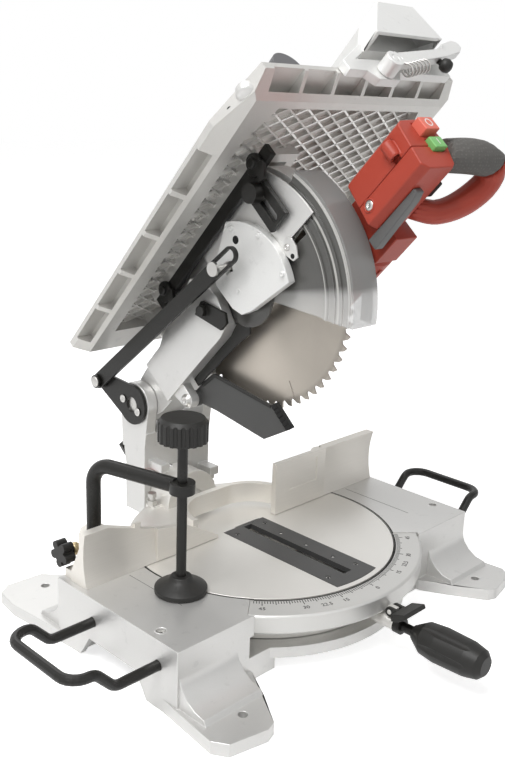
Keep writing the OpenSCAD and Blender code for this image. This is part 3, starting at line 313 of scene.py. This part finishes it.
def smoky_guard(name, colour):
    """Smoky see-through shield: denser inside, pale along its ridges, clear at its rim and front end, and painted
    pale there as the highlight on its thick edges.
    """
    f = Finish(name, Specular_IOR_Level=0.6)
    centre = on_head(*ARBOR)
    r = f.radius(centre, "YZ")
    turn = f.bearing(centre, "YZ")
    cloud, scuff = f.noise(14.0), f.along(r * 700.0)
    band = r.over(BAND_R, 0.0005)
    ridge = ((r - FIRST_RIDGE_R) * (2 * math.pi / RIDGE_PITCH) + math.pi / 2).wave().over(0.86, 0.1) * band
    rim = r.over(RIM_R, 0.0006)
    # The bearing runs from the back over the top: the front end of the shield is just past half a turn
    ahead = f.make("ShaderNodeMath", {"operation": "ABSOLUTE"}, {0: turn}).over(2.98, 0.06)
    clear = (rim * 0.3).highest(ahead * r.over(0.04, 0.002))
    tone = f.blend((cloud * 0.6 + scuff * 0.4).clamp(), shade(colour, 0.82), shade(colour, 1.18))
    pale = f.blend(ridge * 0.75, tone, (0.62, 0.61, 0.58))
    # Rim and front end: more see-through, and their colour painted pale as the highlight on the thick clear edges
    f.set("Base Color", f.blend(clear * 0.8, pale, (0.8, 0.8, 0.79)))
    f.set("Roughness", 0.14 + scuff * 0.14)
    f.set("Alpha", (0.8 - clear * 0.4 + band * 0.04 + ridge * 0.12 + cloud * 0.06).clamp())
    f.bump(scuff, 0.05, 0.0003)
    return f.material


SILVER = (0.69, 0.685, 0.67)
RED = (0.40, 0.052, 0.03)
NECK_GREY = (0.14, 0.14, 0.138)
NECK_SPLIT = 0.0175
finishes = {
    "cast_aluminium": cast_metal("cast_aluminium", SILVER, 0.36, 0.65),
    "machined_aluminium": milled_plate("machined_aluminium", (0.83, 0.8, 0.745)),
    "steel": bright_steel("bright_steel", (0.6, 0.59, 0.57)),
    "blade_steel": ground_blade("blade_steel", (0.47, 0.43, 0.38)),
    "black_coated": powder_coat("black_powder_coat", (0.014, 0.0135, 0.012), 0.32),
    "black_plastic": moulded("black_plastic", (0.018, 0.0175, 0.016), 0.44),
    "dark_plate": moulded("dark_plate", (0.07, 0.07, 0.069), 0.42),
    "rubber": moulded("rubber_strip", (0.012, 0.012, 0.012), 0.7),
    "white_paint": cast_metal("white_paint", (0.82, 0.82, 0.805), 0.36, 0.25),
    "red_plastic": moulded("red_plastic", RED, 0.4),
    "pointer_red": moulded("pointer_red", (0.42, 0.03, 0.02), 0.4),
    "soft_grip": dotted_grip("soft_grip", (0.135, 0.13, 0.122)),
    "green_plastic": moulded("green_plastic", (0.2, 0.5, 0.16), 0.36),
    "button_red": moulded("button_red", (0.74, 0.17, 0.12), 0.34),
    "smoky_clear": smoky_guard("smoky_clear", (0.115, 0.113, 0.107)),
    "grey_plastic": moulded("grey_plastic", (0.13, 0.13, 0.135), 0.46),
}
turntable_face = turned_plate("turntable_face", (0.81, 0.795, 0.76), on_axis(0, 0, 0))
print_black = moulded("printed_black", (0.03, 0.03, 0.03), 0.6)
print_white = moulded("printed_white", (0.8, 0.78, 0.76), 0.5)
# Painted shade: dark strips along the grooves on the wings
groove_shade = moulded("painted_groove_shade", (0.2, 0.2, 0.195), 0.7)
# Painted shade: dark discs and bands laid over faces as holes, sockets and the gap round the turntable
hole_and_gap_shade = moulded("painted_hole_and_gap_shade", (0.008, 0.008, 0.008), 0.8)
brass = bright_steel("brass_collar", (0.62, 0.5, 0.3))


def neck_colours(name, bar, body, split):
    """The neck's grey bar on the left, and its red body from split (metres) to the right."""
    f = Finish(name, Specular_IOR_Level=0.36)
    cloud, grain = f.noise(20.0), f.noise(1500.0, 2.0)
    colour = f.blend(f.part("X").over(split, 0.0004), bar, body)
    f.set("Base Color", f.blend((cloud * 0.5 + grain * 0.5 - 0.2).clamp() * 0.4, colour, (0.02, 0.02, 0.02)))
    f.set("Roughness", 0.38 + grain * 0.08 + cloud * 0.06)
    f.bump(grain, 0.2, 0.0003)
    return f.material


# Fine ribs under the upper table: a lighter, glossier copy of the casting's finish, painted light as on ribs that
# catch it
rib_painted_bright = cast_metal("table_rib_painted_bright", (0.82, 0.81, 0.79), 0.26, 0.8)
own_finish = {
    "turntable": turntable_face,
    "mitre_scale": turned_plate("scale_face", (0.66, 0.655, 0.635), on_axis(0, 0, 0)),
    "upper_table": cast_metal("table_casting", (0.67, 0.66, 0.635), 0.4, 0.55),
    "handle_neck": neck_colours("neck_colours", NECK_GREY, RED, NECK_SPLIT),
    "mitre_handle_rod": finishes["black_coated"],
    "blade_flanges": bright_steel("flange_steel", (0.72, 0.71, 0.69), 0.22),
    "insert_screws": bright_steel("screw_zinc", (0.78, 0.77, 0.74), 0.2),
}

# Finishes on the solids
for entry in frame["record"]["subparts"]:
    solid = nodes[entry["node"]]
    solid.data.materials.clear()
    solid.data.materials.append(own_finish.get(entry["node"], finishes[entry["material_slot"]]))

# Rounded edges of castings and mouldings: width in millimetres
rounded = {
    "base_casting": 0.6, "tilt_bracket": 1.0, "arm": 0.8, "turntable": 0.5,
    "fence": 0.4, "mitre_scale": 0.9, "upper_guard": 0.5, "hub_cover": 0.7,
    "motor_housing": 0.4, "switch_housing_upper": 1.6, "switch_housing_lower": 1.6, "handle_neck": 1.2,
    "start_button": 1.2, "stop_button": 1.2, "trigger": 1.6, "rip_fence": 0.8,
    "rip_lever": 1.2, "bevel_lock_lever": 1.2, "detent_lever": 0.6, "guard_link": 0.6,
    "link_bracket": 0.6, "table_guide_bar": 0.6, "arm_stop_plate": 0.6, "edge_stop": 0.6,
    "clamp_knob": 0.2, "post_lock_knob": 0.4, "lower_guard": 0.3, "rear_flap": 0.6,
    "clamp_post": 0.3, "clamp_pad": 0.6,
}
WELD_GAP = 0.002 * MM


def round_edges(obj, width):
    """Joins flat facets, rounds the sharp edges, and keeps the broad faces flat in the light."""
    joined = obj.modifiers.new("joined_faces", "WELD")
    joined.merge_threshold = WELD_GAP
    flat = obj.modifiers.new("flat_faces", "DECIMATE")
    flat.decimate_type = "DISSOLVE"
    flat.angle_limit = math.radians(0.6)
    edge = obj.modifiers.new("rounded", "BEVEL")
    edge.width = width * MM
    edge.segments = 2
    edge.limit_method = "ANGLE"
    edge.angle_limit = math.radians(35)
    edge.use_clamp_overlap = False
    light = obj.modifiers.new("even_light", "WEIGHTED_NORMAL")
    light.weight = 90


for name, width in rounded.items():
    round_edges(nodes[name], width)


def even_sweep(obj):
    """Joins the facets of a swept tube and rounds it along its bends."""
    joined = obj.modifiers.new("joined_faces", "WELD")
    joined.merge_threshold = WELD_GAP
    smooth = obj.modifiers.new("even_bends", "SUBSURF")
    smooth.levels = 2
    smooth.render_levels = 2


for name in ("handle_loop", "handle_grip"):
    even_sweep(nodes[name])


def piece(name, build, body, slot, material=None, smooth=True):
    """A mesh from build that rides on a body, with the finish of a slot."""
    bm = bmesh.new()
    build(bm)
    bmesh.ops.recalc_face_normals(bm, faces=bm.faces)
    mesh = bpy.data.meshes.new(name)
    bm.to_mesh(mesh)
    bm.free()
    obj = bpy.data.objects.new(name, mesh)
    bpy.context.scene.collection.objects.link(obj)
    mesh.materials.append(material or finishes[slot])
    for face in mesh.polygons:
        face.use_smooth = smooth
    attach(obj, body)
    return obj


def slab(bm, corners, depth):
    """A flat piece: its corners on a face, and the vector that its thickness follows."""
    low = [bm.verts.new(c) for c in corners]
    high = [bm.verts.new(c + depth) for c in corners]
    bm.faces.new(low)
    bm.faces.new(high)
    for i in range(len(corners)):
        j = (i + 1) % len(corners)
        bm.faces.new((low[i], low[j], high[j], high[i]))


def turned(bm, place, axis, profile, sides=28):
    """Turns a closed profile of (radius, height) in millimetres round an axis through place."""
    axis = axis.normalized()
    across = axis.orthogonal().normalized()
    other = axis.cross(across)
    rings = []
    for r, h in profile:
        at = place + axis * h * MM
        if r == 0:
            rings.append([bm.verts.new(at)])
            continue
        ring = []
        for k in range(sides):
            a = 2 * math.pi * k / sides
            ring.append(bm.verts.new(at + (across * math.cos(a) + other * math.sin(a)) * r * MM))
        rings.append(ring)
    for low, high in zip(rings, rings[1:]):
        for k in range(sides):
            corners = [low[k % len(low)], low[(k + 1) % sides % len(low)], high[(k + 1) % sides % len(high)],
                       high[k % len(high)]]
            unique = list(dict.fromkeys(corners))
            if len(unique) > 2:
                bm.faces.new(unique)


def pan_head(r, h):
    """Profile of a domed screw head with a round recess."""
    return [(r, -0.6), (r, 0.35 * h), (0.86 * r, 0.75 * h), (0.6 * r, 0.95 * h), (0.42 * r, h),
            (0.38 * r, 0.5 * h), (0, 0.45 * h)]


def rivet(r, h):
    """Profile of a domed rivet head."""
    return [(r, -0.6), (r, 0.25 * h), (0.85 * r, 0.62 * h), (0.5 * r, 0.92 * h), (0, h)]


def hole_shade_disc(r, depth=0.0):
    """Profile of a dark disc of painted shade that shows as a hole, a hair above its face."""
    return [(r, -0.3), (r, 0.08), (0, 0.08 + depth)]


# Base: dark strips of painted shade along the grooves on the wings, the rims of the bow screws, and a dark band
# of painted shade along the gap round the turntable
BOW_SCREWS = [(x, -83.0) for x in (-213.0, 213.0)]
GAP_SHADE_R = (148.25, 149.9)
SCALE_HALF = 48


def bow_screw_rims(bm):
    for x, y in BOW_SCREWS:
        turned(bm, on_axis(x, y, TABLE_H), UP, [(4.5, -0.6), (4.6, 0.15), (6.0, 0.3), (6.6, -0.2)])


# A dark band of painted shade laid over the scale and wings along the gap round the turntable
def turntable_gap_shade(bm):
    for degrees in range(-100, 100, 2):
        a, b = math.radians(degrees), math.radians(degrees + 2)
        corners = [(GAP_SHADE_R[0], a), (GAP_SHADE_R[0], b), (GAP_SHADE_R[1], b), (GAP_SHADE_R[1], a)]
        face = (SCALE_TOP if -SCALE_HALF <= degrees < SCALE_HALF else TABLE_H) + 0.05
        bm.faces.new([bm.verts.new(on_axis(r * math.sin(t), -r * math.cos(t), face)) for r, t in corners])


# Dark strips of painted shade along the grooves on the wings
def wing_groove_shade(bm):
    for x, y0, y1 in ((-170.0, 18.0, -62.0), (170.0, 18.0, -78.0)):
        slab(bm, [on_axis(x - 0.4, y0, TABLE_H), on_axis(x + 0.4, y0, TABLE_H), on_axis(x + 0.4, y1, TABLE_H),
                  on_axis(x - 0.4, y1, TABLE_H)], UP * 0.06 * MM)


piece("bow_screw_rims", bow_screw_rims, "base", "cast_aluminium")
piece("turntable_gap_shade", turntable_gap_shade, "base", "cast_aluminium", hole_and_gap_shade, False)
piece("wing_groove_shade", wing_groove_shade, "base", "cast_aluminium", groove_shade, False)


# Mitre scale: printed marks and numbers
MARKS_FROM = 150.5
NUMBERS_R = 164.5
NUMBERS_H = 7.0


def scale_place(degrees, r):
    a = math.radians(degrees)
    return on_axis(r * math.sin(a), -r * math.cos(a), SCALE_TOP)


def scale_marks(bm):
    half = 0.15
    for degrees in range(-SCALE_HALF, SCALE_HALF + 1):
        end = MARKS_FROM + (8.0 if degrees % 15 == 0 else 6.0 if degrees % 5 == 0 else 4.2)
        slab(bm, [scale_place(degrees - half, MARKS_FROM), scale_place(degrees + half, MARKS_FROM),
                  scale_place(degrees + half, end), scale_place(degrees - half, end)], UP * 0.1 * MM)


piece("mitre_scale_marks", scale_marks, "base", "machined_aluminium", print_black, False)


def sign(name, words, place, height, facing, body, material):
    """Figures or a switch sign on a face whose right, up and outward ways are facing's columns."""
    curve = bpy.data.curves.new(name, "FONT")
    curve.body = words
    curve.size = height * MM
    curve.align_x = "CENTER"
    curve.align_y = "CENTER"
    curve.extrude = 0.06 * MM
    obj = bpy.data.objects.new(name, curve)
    bpy.context.scene.collection.objects.link(obj)
    obj.matrix_world = Matrix.Translation(place) @ facing.to_4x4()
    curve.materials.append(material)
    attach(obj, body)


for degrees in (-45, -30, -22.5, -15, 0, 15, 22.5, 30, 45):
    tag = f"{abs(degrees):g}"
    side = "l" if degrees < 0 else "r"
    sign(f"scale_{side}{tag.replace('.', '_')}", tag, scale_place(degrees, NUMBERS_R) + UP * 0.08 * MM, NUMBERS_H,
         Matrix.Rotation(math.radians(degrees), 3, "Z"), "base", print_black)


# Bevel scale: marks each 5 degrees on the rim behind the turntable
BEVEL_RIM_R = 41.0
BEVEL_RIM_Y = 141.2
BEVEL_FIRST = 212.5
MARK_HALF = math.radians(0.5)


def bevel_marks(bm):
    for step in range(10):
        a = math.radians(BEVEL_FIRST + 5 * step)
        near, far = BEVEL_RIM_Y, BEVEL_RIM_Y + (8.0 if step % 3 == 0 else 5.0)
        (x0, z0), (x1, z1) = [(BEVEL_RIM_R * math.cos(b), TABLE_H - BEVEL_RIM_R * math.sin(b))
                              for b in (a - MARK_HALF, a + MARK_HALF)]
        out = Vector((math.cos(a), 0, -math.sin(a))) * 0.12 * MM
        slab(bm, [on_axis(x0, near, z0), on_axis(x1, near, z1), on_axis(x1, far, z1), on_axis(x0, far, z0)], out)


piece("bevel_scale_marks", bevel_marks, "mitre_table", "white_paint", print_black, False)


# Kerf insert: small screws between the corner ones, and dark discs of painted shade in the sockets of those
def insert_dowels(bm):
    for y in (-92.0, -54.0, -16.0):
        turned(bm, on_axis(16, y, TABLE_H - 1.6), UP, pan_head(1.9, 1.2), 16)


def insert_socket_shade(bm):
    for x in (-22.0, 22.0):
        for y in (-118.0, 14.0):
            turned(bm, on_axis(x, y, TABLE_H - 1.0), UP, hole_shade_disc(1.5), 6)


piece("insert_small_screws", insert_dowels, "mitre_table", "steel")
piece("insert_socket_shade_discs", insert_socket_shade, "mitre_table", "steel", hole_and_gap_shade, False)

# Clamp: brass collar on the lock screw
COLLAR = [(4.1, 0), (6.2, 0), (6.6, 0.8), (6.6, 5.6), (6.2, 6.4), (4.1, 6.4)]
LOCK_SCREW = (-199, 66, 92)
piece("lock_screw_collar", lambda bm: turned(bm, on_axis(*LOCK_SCREW), LEFT, COLLAR), "post_knob", "steel", brass)


# Link and bracket: bright rivets and screws
def bracket_heads(bm):
    turned(bm, on_axis(LINK_FACE, *LINK_REAR), LEFT, rivet(6.4, 2.0))
    for y, z in BRACKET_SCREWS:
        turned(bm, on_axis(BRACKET_FACE, y, z), LEFT, pan_head(4.7, 0.42))


def flap_hinge_head(bm):
    washer_and_head = [(7.6, -0.5), (7.6, 0.7), (5.6, 0.9), (5.4, 2.6), (4.4, 3.3), (2.2, 3.4), (2.0, 1.8),
                       (0, 1.7)]
    turned(bm, on_head(-32, -68, -44), LEFT, washer_and_head)


piece("link_bracket_heads", bracket_heads, "bevel_head", "steel")
piece("flap_hinge_screw", flap_hinge_head, "saw_head", "steel")


# Hub cover: screws, sight hole and a dark disc of painted shade as a hole, and the tab that holds the guard's
# panel
def cover_screws(bm):
    for y, z in ((-42.0, 52.0), (-66.0, 22.0), (-64.0, -26.0)):
        turned(bm, on_arbor(COVER_FACE - 1.5, y, z), LEFT, pan_head(2.9, 1.2), 20)
    sight_rim = [(3.6, -0.4), (3.5, 0.3), (2.7, 0.35), (2.5, 0.12), (0, 0.1)]
    turned(bm, on_arbor(COVER_FACE, -3, 1), LEFT, sight_rim, 24)


def cover_hole_shade(bm):
    turned(bm, on_arbor(COVER_FACE, -38, 40), LEFT, hole_shade_disc(4.3), 28)
    turned(bm, on_arbor(PANEL_FACE - 1.8, -80, -18), LEFT, hole_shade_disc(2.6), 20)


def panel_tab(bm):
    outline = [(-68, 2), (-88, 0), (-91, -4), (-90, -14), (-84, -23), (-77, -22), (-72, -8), (-66, -4)]
    slab(bm, [on_arbor(PANEL_FACE + 0.4, y, z) for y, z in outline], LEFT * 2.2 * MM)


def tab_screw(bm):
    turned(bm, on_arbor(PANEL_FACE - 1.8, -80, -7), LEFT, pan_head(3.6, 1.8))


piece("hub_cover_screws", cover_screws, "saw_head", "white_paint")
piece("hub_cover_hole_shade", cover_hole_shade, "saw_head", "white_paint", hole_and_gap_shade)
round_edges(piece("guard_panel_tab", panel_tab, "saw_head", "cast_aluminium"), 0.6)
piece("guard_tab_screw", tab_screw, "saw_head", "steel")


# Arm: a black slab along its lower edge, beside the blade
ARM_BAND_X = -17.4
LIP_X = -15.6
STRIP_X = -16.8


def arm_black_band(bm):
    outline = [(-84, -25), (-168, -27), (-188, -24), (-199, -39), (-192, -46), (-168, -42), (-112, -39),
               (-84, -38)]
    slab(bm, [on_head(ARM_BAND_X, y, z) for y, z in outline], LEFT * 3.0 * MM)


# Flap behind the blade: lip along its upper edge, and ridges on its rubber strip
def flap_lip(bm):
    outline = [(-86, -36.6), (-112, -40.4), (-148, -97), (-160, -115.5), (-157, -118), (-145, -99.5),
               (-110, -45), (-86, -41.4)]
    slab(bm, [on_head(LIP_X, y, z) for y, z in outline], LEFT * 1.1 * MM)


def strip_ridges(bm):
    for k in range(6):
        z = -119.5 - 5.2 * k
        outline = [(-160.6, z), (-167.6, z - 0.9), (-167.6, z - 3.1), (-160.6, z - 2.2)]
        slab(bm, [on_head(STRIP_X, y, h) for y, h in outline], LEFT * 1.3 * MM)


round_edges(piece("arm_black_band", arm_black_band, "saw_head", "black_plastic"), 0.6)
round_edges(piece("flap_lip", flap_lip, "flap", "black_plastic"), 0.4)
piece("flap_strip_ridges", strip_ridges, "flap", "rubber", None, False)

# Upper table: fine ribs between the solid's own, as a diamond lattice on the underside, in a brighter copy of the
# casting's finish that paints the light they catch
RIB_PITCH = 27.0
RIB_T = 2.0
RIB_H = 4.0
RIB_TURN = math.radians(30)
RIB_FIELD = [(-70, -54), (195, -54), (195, -355.5), (177, -402), (-52, -402), (-70, -355.5)]
RIB_CENTRE = Vector((62.5, -216.0))
SLOT_BOX = [(-28, -336), (28, -336), (28, -106), (-28, -106)]


def inside_run(place, way, outline):
    """First and last distance along a line that lie inside a convex outline."""
    first, last = -1e9, 1e9
    middle = sum((Vector(p) for p in outline), Vector((0, 0))) / len(outline)
    for a, b in zip(outline, outline[1:] + outline[:1]):
        a, b = Vector(a), Vector(b)
        inward = Vector((a.y - b.y, b.x - a.x))
        if inward.dot(middle - a) < 0:
            inward = -inward
        speed, room = inward.dot(way), inward.dot(place - a)
        if abs(speed) < 1e-9:
            if room < 0:
                return None
        elif speed > 0:
            first = max(first, -room / speed)
        else:
            last = min(last, -room / speed)
    return (first, last) if last - first > 1 else None


def fine_ribs(bm):
    down = head_way(0, 0, -1) * RIB_H * MM
    for lean in (-RIB_TURN, RIB_TURN):
        way, step = Vector((math.cos(lean), math.sin(lean))), Vector((-math.sin(lean), math.cos(lean)))
        for i in range(-10, 10):
            place = RIB_CENTRE + step * RIB_PITCH * (i + 0.5)
            run = inside_run(place, way, RIB_FIELD)
            if not run:
                continue
            gap = inside_run(place, way, SLOT_BOX)
            runs = [run] if not gap else [(run[0], gap[0]), (gap[1], run[1])]
            for a, b in runs:
                if b - a < 2:
                    continue
                ends = [place + way * a, place + way * b]
                half = step * RIB_T / 2
                corners = [ends[0] - half, ends[0] + half, ends[1] + half, ends[1] - half]
                slab(bm, [on_head(c.x, c.y, DECK_UNDER + 0.2) for c in corners], down)


piece("table_fine_ribs", fine_ribs, "deck", "cast_aluminium", rib_painted_bright, False)


# Upper table: boss and a dark disc of painted shade as a hole on its front left bevel, and the lock hooks at the
# ends of the guide bar
EDGE_OUT = head_way(-0.48, 0, -0.877)
GUIDE_X = -32.8


def edge_boss(bm):
    turned(bm, on_head(-86, -404, 75.6), EDGE_OUT, [(10.5, -4), (10, 2.2), (8.4, 4.2), (4.5, 5.2), (0, 5.4)])


def edge_hole_shade(bm):
    turned(bm, on_head(-92.5, -384, 76.4), EDGE_OUT, hole_shade_disc(3.2, 0.2), 24)


def guide_hooks(bm):
    boss = [(10, 0), (10, 3.2), (9, 4.2), (5.4, 4.4), (5.2, 7.2), (3.8, 8), (0, 8.1)]
    hook = [(-12, -3), (-6, -12), (0, -17), (7, -15), (4, -9), (10, -6), (12, 2), (4, 6)]
    for y in (-330.0, -134.0):
        turned(bm, on_head(GUIDE_X, y, 62), LEFT, boss)
        slab(bm, [on_head(GUIDE_X, y + a, 58 + b) for a, b in hook], LEFT * 4.4 * MM)


piece("table_edge_boss", edge_boss, "deck", "cast_aluminium")
piece("table_edge_hole_shade", edge_hole_shade, "deck", "cast_aluminium", hole_and_gap_shade)
round_edges(piece("guide_bar_hooks", guide_hooks, "deck", "black_coated"), 0.5)

# Switch housing: signs on the buttons, and a screw in its seat on the sloped side
BUTTON_WAYS = Matrix((head_way(1, 0, 0), head_way(0, 0, 1), head_way(0, -1, 0))).transposed()
sign("stop_sign", "O", on_head(34.5, -464.05, -20.5), 13.0, BUTTON_WAYS, "stop", print_white)
sign("start_sign", "I", on_head(35, -460.05, -39.5), 10.0, BUTTON_WAYS, "start", print_white)


HOUSING_OUT = head_way(-0.978, 0, 0.208)
HOUSING_SCREW = on_head(-3.25, -387, -47)


def screw_seat(bm):
    turned(bm, HOUSING_SCREW, HOUSING_OUT, [(7.2, -2.5), (6.8, 0.8), (5.6, 1.0), (5.2, 0.2)], 28)


def screw_head(bm):
    turned(bm, HOUSING_SCREW, HOUSING_OUT, pan_head(5.0, 1.2), 28)


piece("housing_screw_seat", screw_seat, "saw_head", "red_plastic")
piece("housing_screw", screw_head, "saw_head", "steel")


# Rip fence: spring and knob at the lever
def lever_knob(bm):
    stem_and_ball = [(3, -4), (3, 4), (6.5, 6), (7.4, 10), (6.2, 14), (3, 16), (0, 16.4)]
    turned(bm, on_head(158, -454, 78), head_way(0, -0.3, -1), stem_and_ball)


def coil(name, first, last, r, wire, turns, body, slot):
    """A wound spring: a wire along a screw line between two places."""
    axis = last - first
    across = axis.orthogonal().normalized()
    other = axis.normalized().cross(across)
    curve = bpy.data.curves.new(name, "CURVE")
    curve.dimensions = "3D"
    curve.bevel_depth = wire / 2 * MM
    curve.bevel_resolution = 3
    spline = curve.splines.new("POLY")
    count = 14 * turns
    spline.points.add(count)
    for k in range(count + 1):
        a = 2 * math.pi * turns * k / count
        at = first + axis * k / count + (across * math.cos(a) + other * math.sin(a)) * r * MM
        spline.points[k].co = (*at, 1.0)
    obj = bpy.data.objects.new(name, curve)
    bpy.context.scene.collection.objects.link(obj)
    curve.materials.append(finishes[slot])
    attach(obj, body)


piece("rip_lever_knob", lever_knob, "rip_clamp", "black_plastic")
coil("rip_lever_spring", on_head(84, -454, 60), on_head(128, -454, 70), 6.5, 2.0, 6, "rip_clamp", "steel")


# Floor, light and camera
def background_rays(nodes, mirrored=1.0):
    """1 for the camera's rays and those let through, which show the background, and a share for mirrored ones."""
    seen = nodes.make("ShaderNodeLightPath", {}, {}, "Is Camera Ray")
    rays = seen.socket.node.outputs
    through = Sock(nodes, rays["Is Transmission Ray"])
    return seen.highest(through).highest(Sock(nodes, rays["Is Glossy Ray"]) * mirrored)


def studio():
    floor = bpy.data.objects.new("studio_floor", bpy.data.meshes.new("studio_floor"))
    bm = bmesh.new()
    bmesh.ops.create_grid(bm, x_segments=1, y_segments=1, size=9.0)
    bm.to_mesh(floor.data)
    bm.free()
    bpy.context.scene.collection.objects.link(floor)
    floor.location.z = -0.0005
    f = Finish("studio_floor", Roughness=0.9, Specular_IOR_Level=0.1, Emission_Strength=0.66)
    f.set("Base Color", f.blend(f.noise(3.0), (0.86, 0.86, 0.86), (0.89, 0.89, 0.89)))
    f.set("Emission Color", f.blend(background_rays(f, 0.5), (0.0, 0.0, 0.0), (1.0, 1.0, 1.0)))
    floor.data.materials.append(f.material)

    world = bpy.data.worlds.new("studio")
    bpy.context.scene.world = world
    world.use_nodes = True
    world.node_tree.nodes.clear()
    w = Nodes(world.node_tree)
    glossy = w.make("ShaderNodeLightPath", {}, {}, "Is Glossy Ray")
    way = w.make("ShaderNodeTexCoord", {}, {}, "Generated")
    east = w.make("ShaderNodeSeparateXYZ", {}, {0: way}, "X")
    north = w.make("ShaderNodeSeparateXYZ", {}, {0: way}, "Y")
    # Mirrored in metal, the room is a little dimmer towards the right and the front
    dim = (east * 0.5 - north * 0.35 - 0.05).clamp() * glossy
    ambient = w.make("ShaderNodeBackground", {}, {"Color": (1, 1, 1, 1), "Strength": 0.36})
    white = w.make("ShaderNodeBackground", {}, {"Color": (1, 1, 1, 1), "Strength": 1.0 - dim * 0.75})
    both = w.make("ShaderNodeMixShader", {}, {0: background_rays(w), 1: ambient, 2: white})
    w.make("ShaderNodeOutputWorld", {}, {"Surface": both})

    def softbox(name, place, aim, size, power):
        light = bpy.data.lights.new(name, "AREA")
        light.shape = "SQUARE"
        light.size = size
        light.energy = power
        lamp = bpy.data.objects.new(name, light)
        bpy.context.scene.collection.objects.link(lamp)
        lamp.location = place
        lamp.rotation_euler = (Vector(aim) - Vector(place)).to_track_quat("-Z", "Y").to_euler()

    softbox("key_light", (-1.2, -0.2, 2.2), (0, 0, 0.2), 1.2, 44.0)
    softbox("fill_light", (0.2, -2.1, 1.3), (0, 0, 0.25), 1.4, 4.0)
    softbox("back_light", (0.6, 1.5, 1.8), (0, 0, 0.3), 1.2, 7.0)


studio()

# Camera at the photograph's place and direction
lens = bpy.data.cameras.new("photo_camera")
lens.sensor_fit = "AUTO"
lens.sensor_width = 36.0
lens.lens = 44.9
lens.clip_start = 0.01
camera = bpy.data.objects.new("photo_camera", lens)
bpy.context.scene.collection.objects.link(camera)
right = Vector((0.7059, -0.7075, 0.0335))
up = Vector((0.1777, 0.2227, 0.9585))
back = Vector((-0.6856, -0.6707, 0.2830))
turn = Matrix((right, up, back)).transposed().to_4x4()
camera.matrix_world = Matrix.Translation((-0.7034, -0.6572, 0.5318)) @ turn
bpy.context.scene.camera = camera

bpy.context.scene.view_settings.view_transform = "Standard"
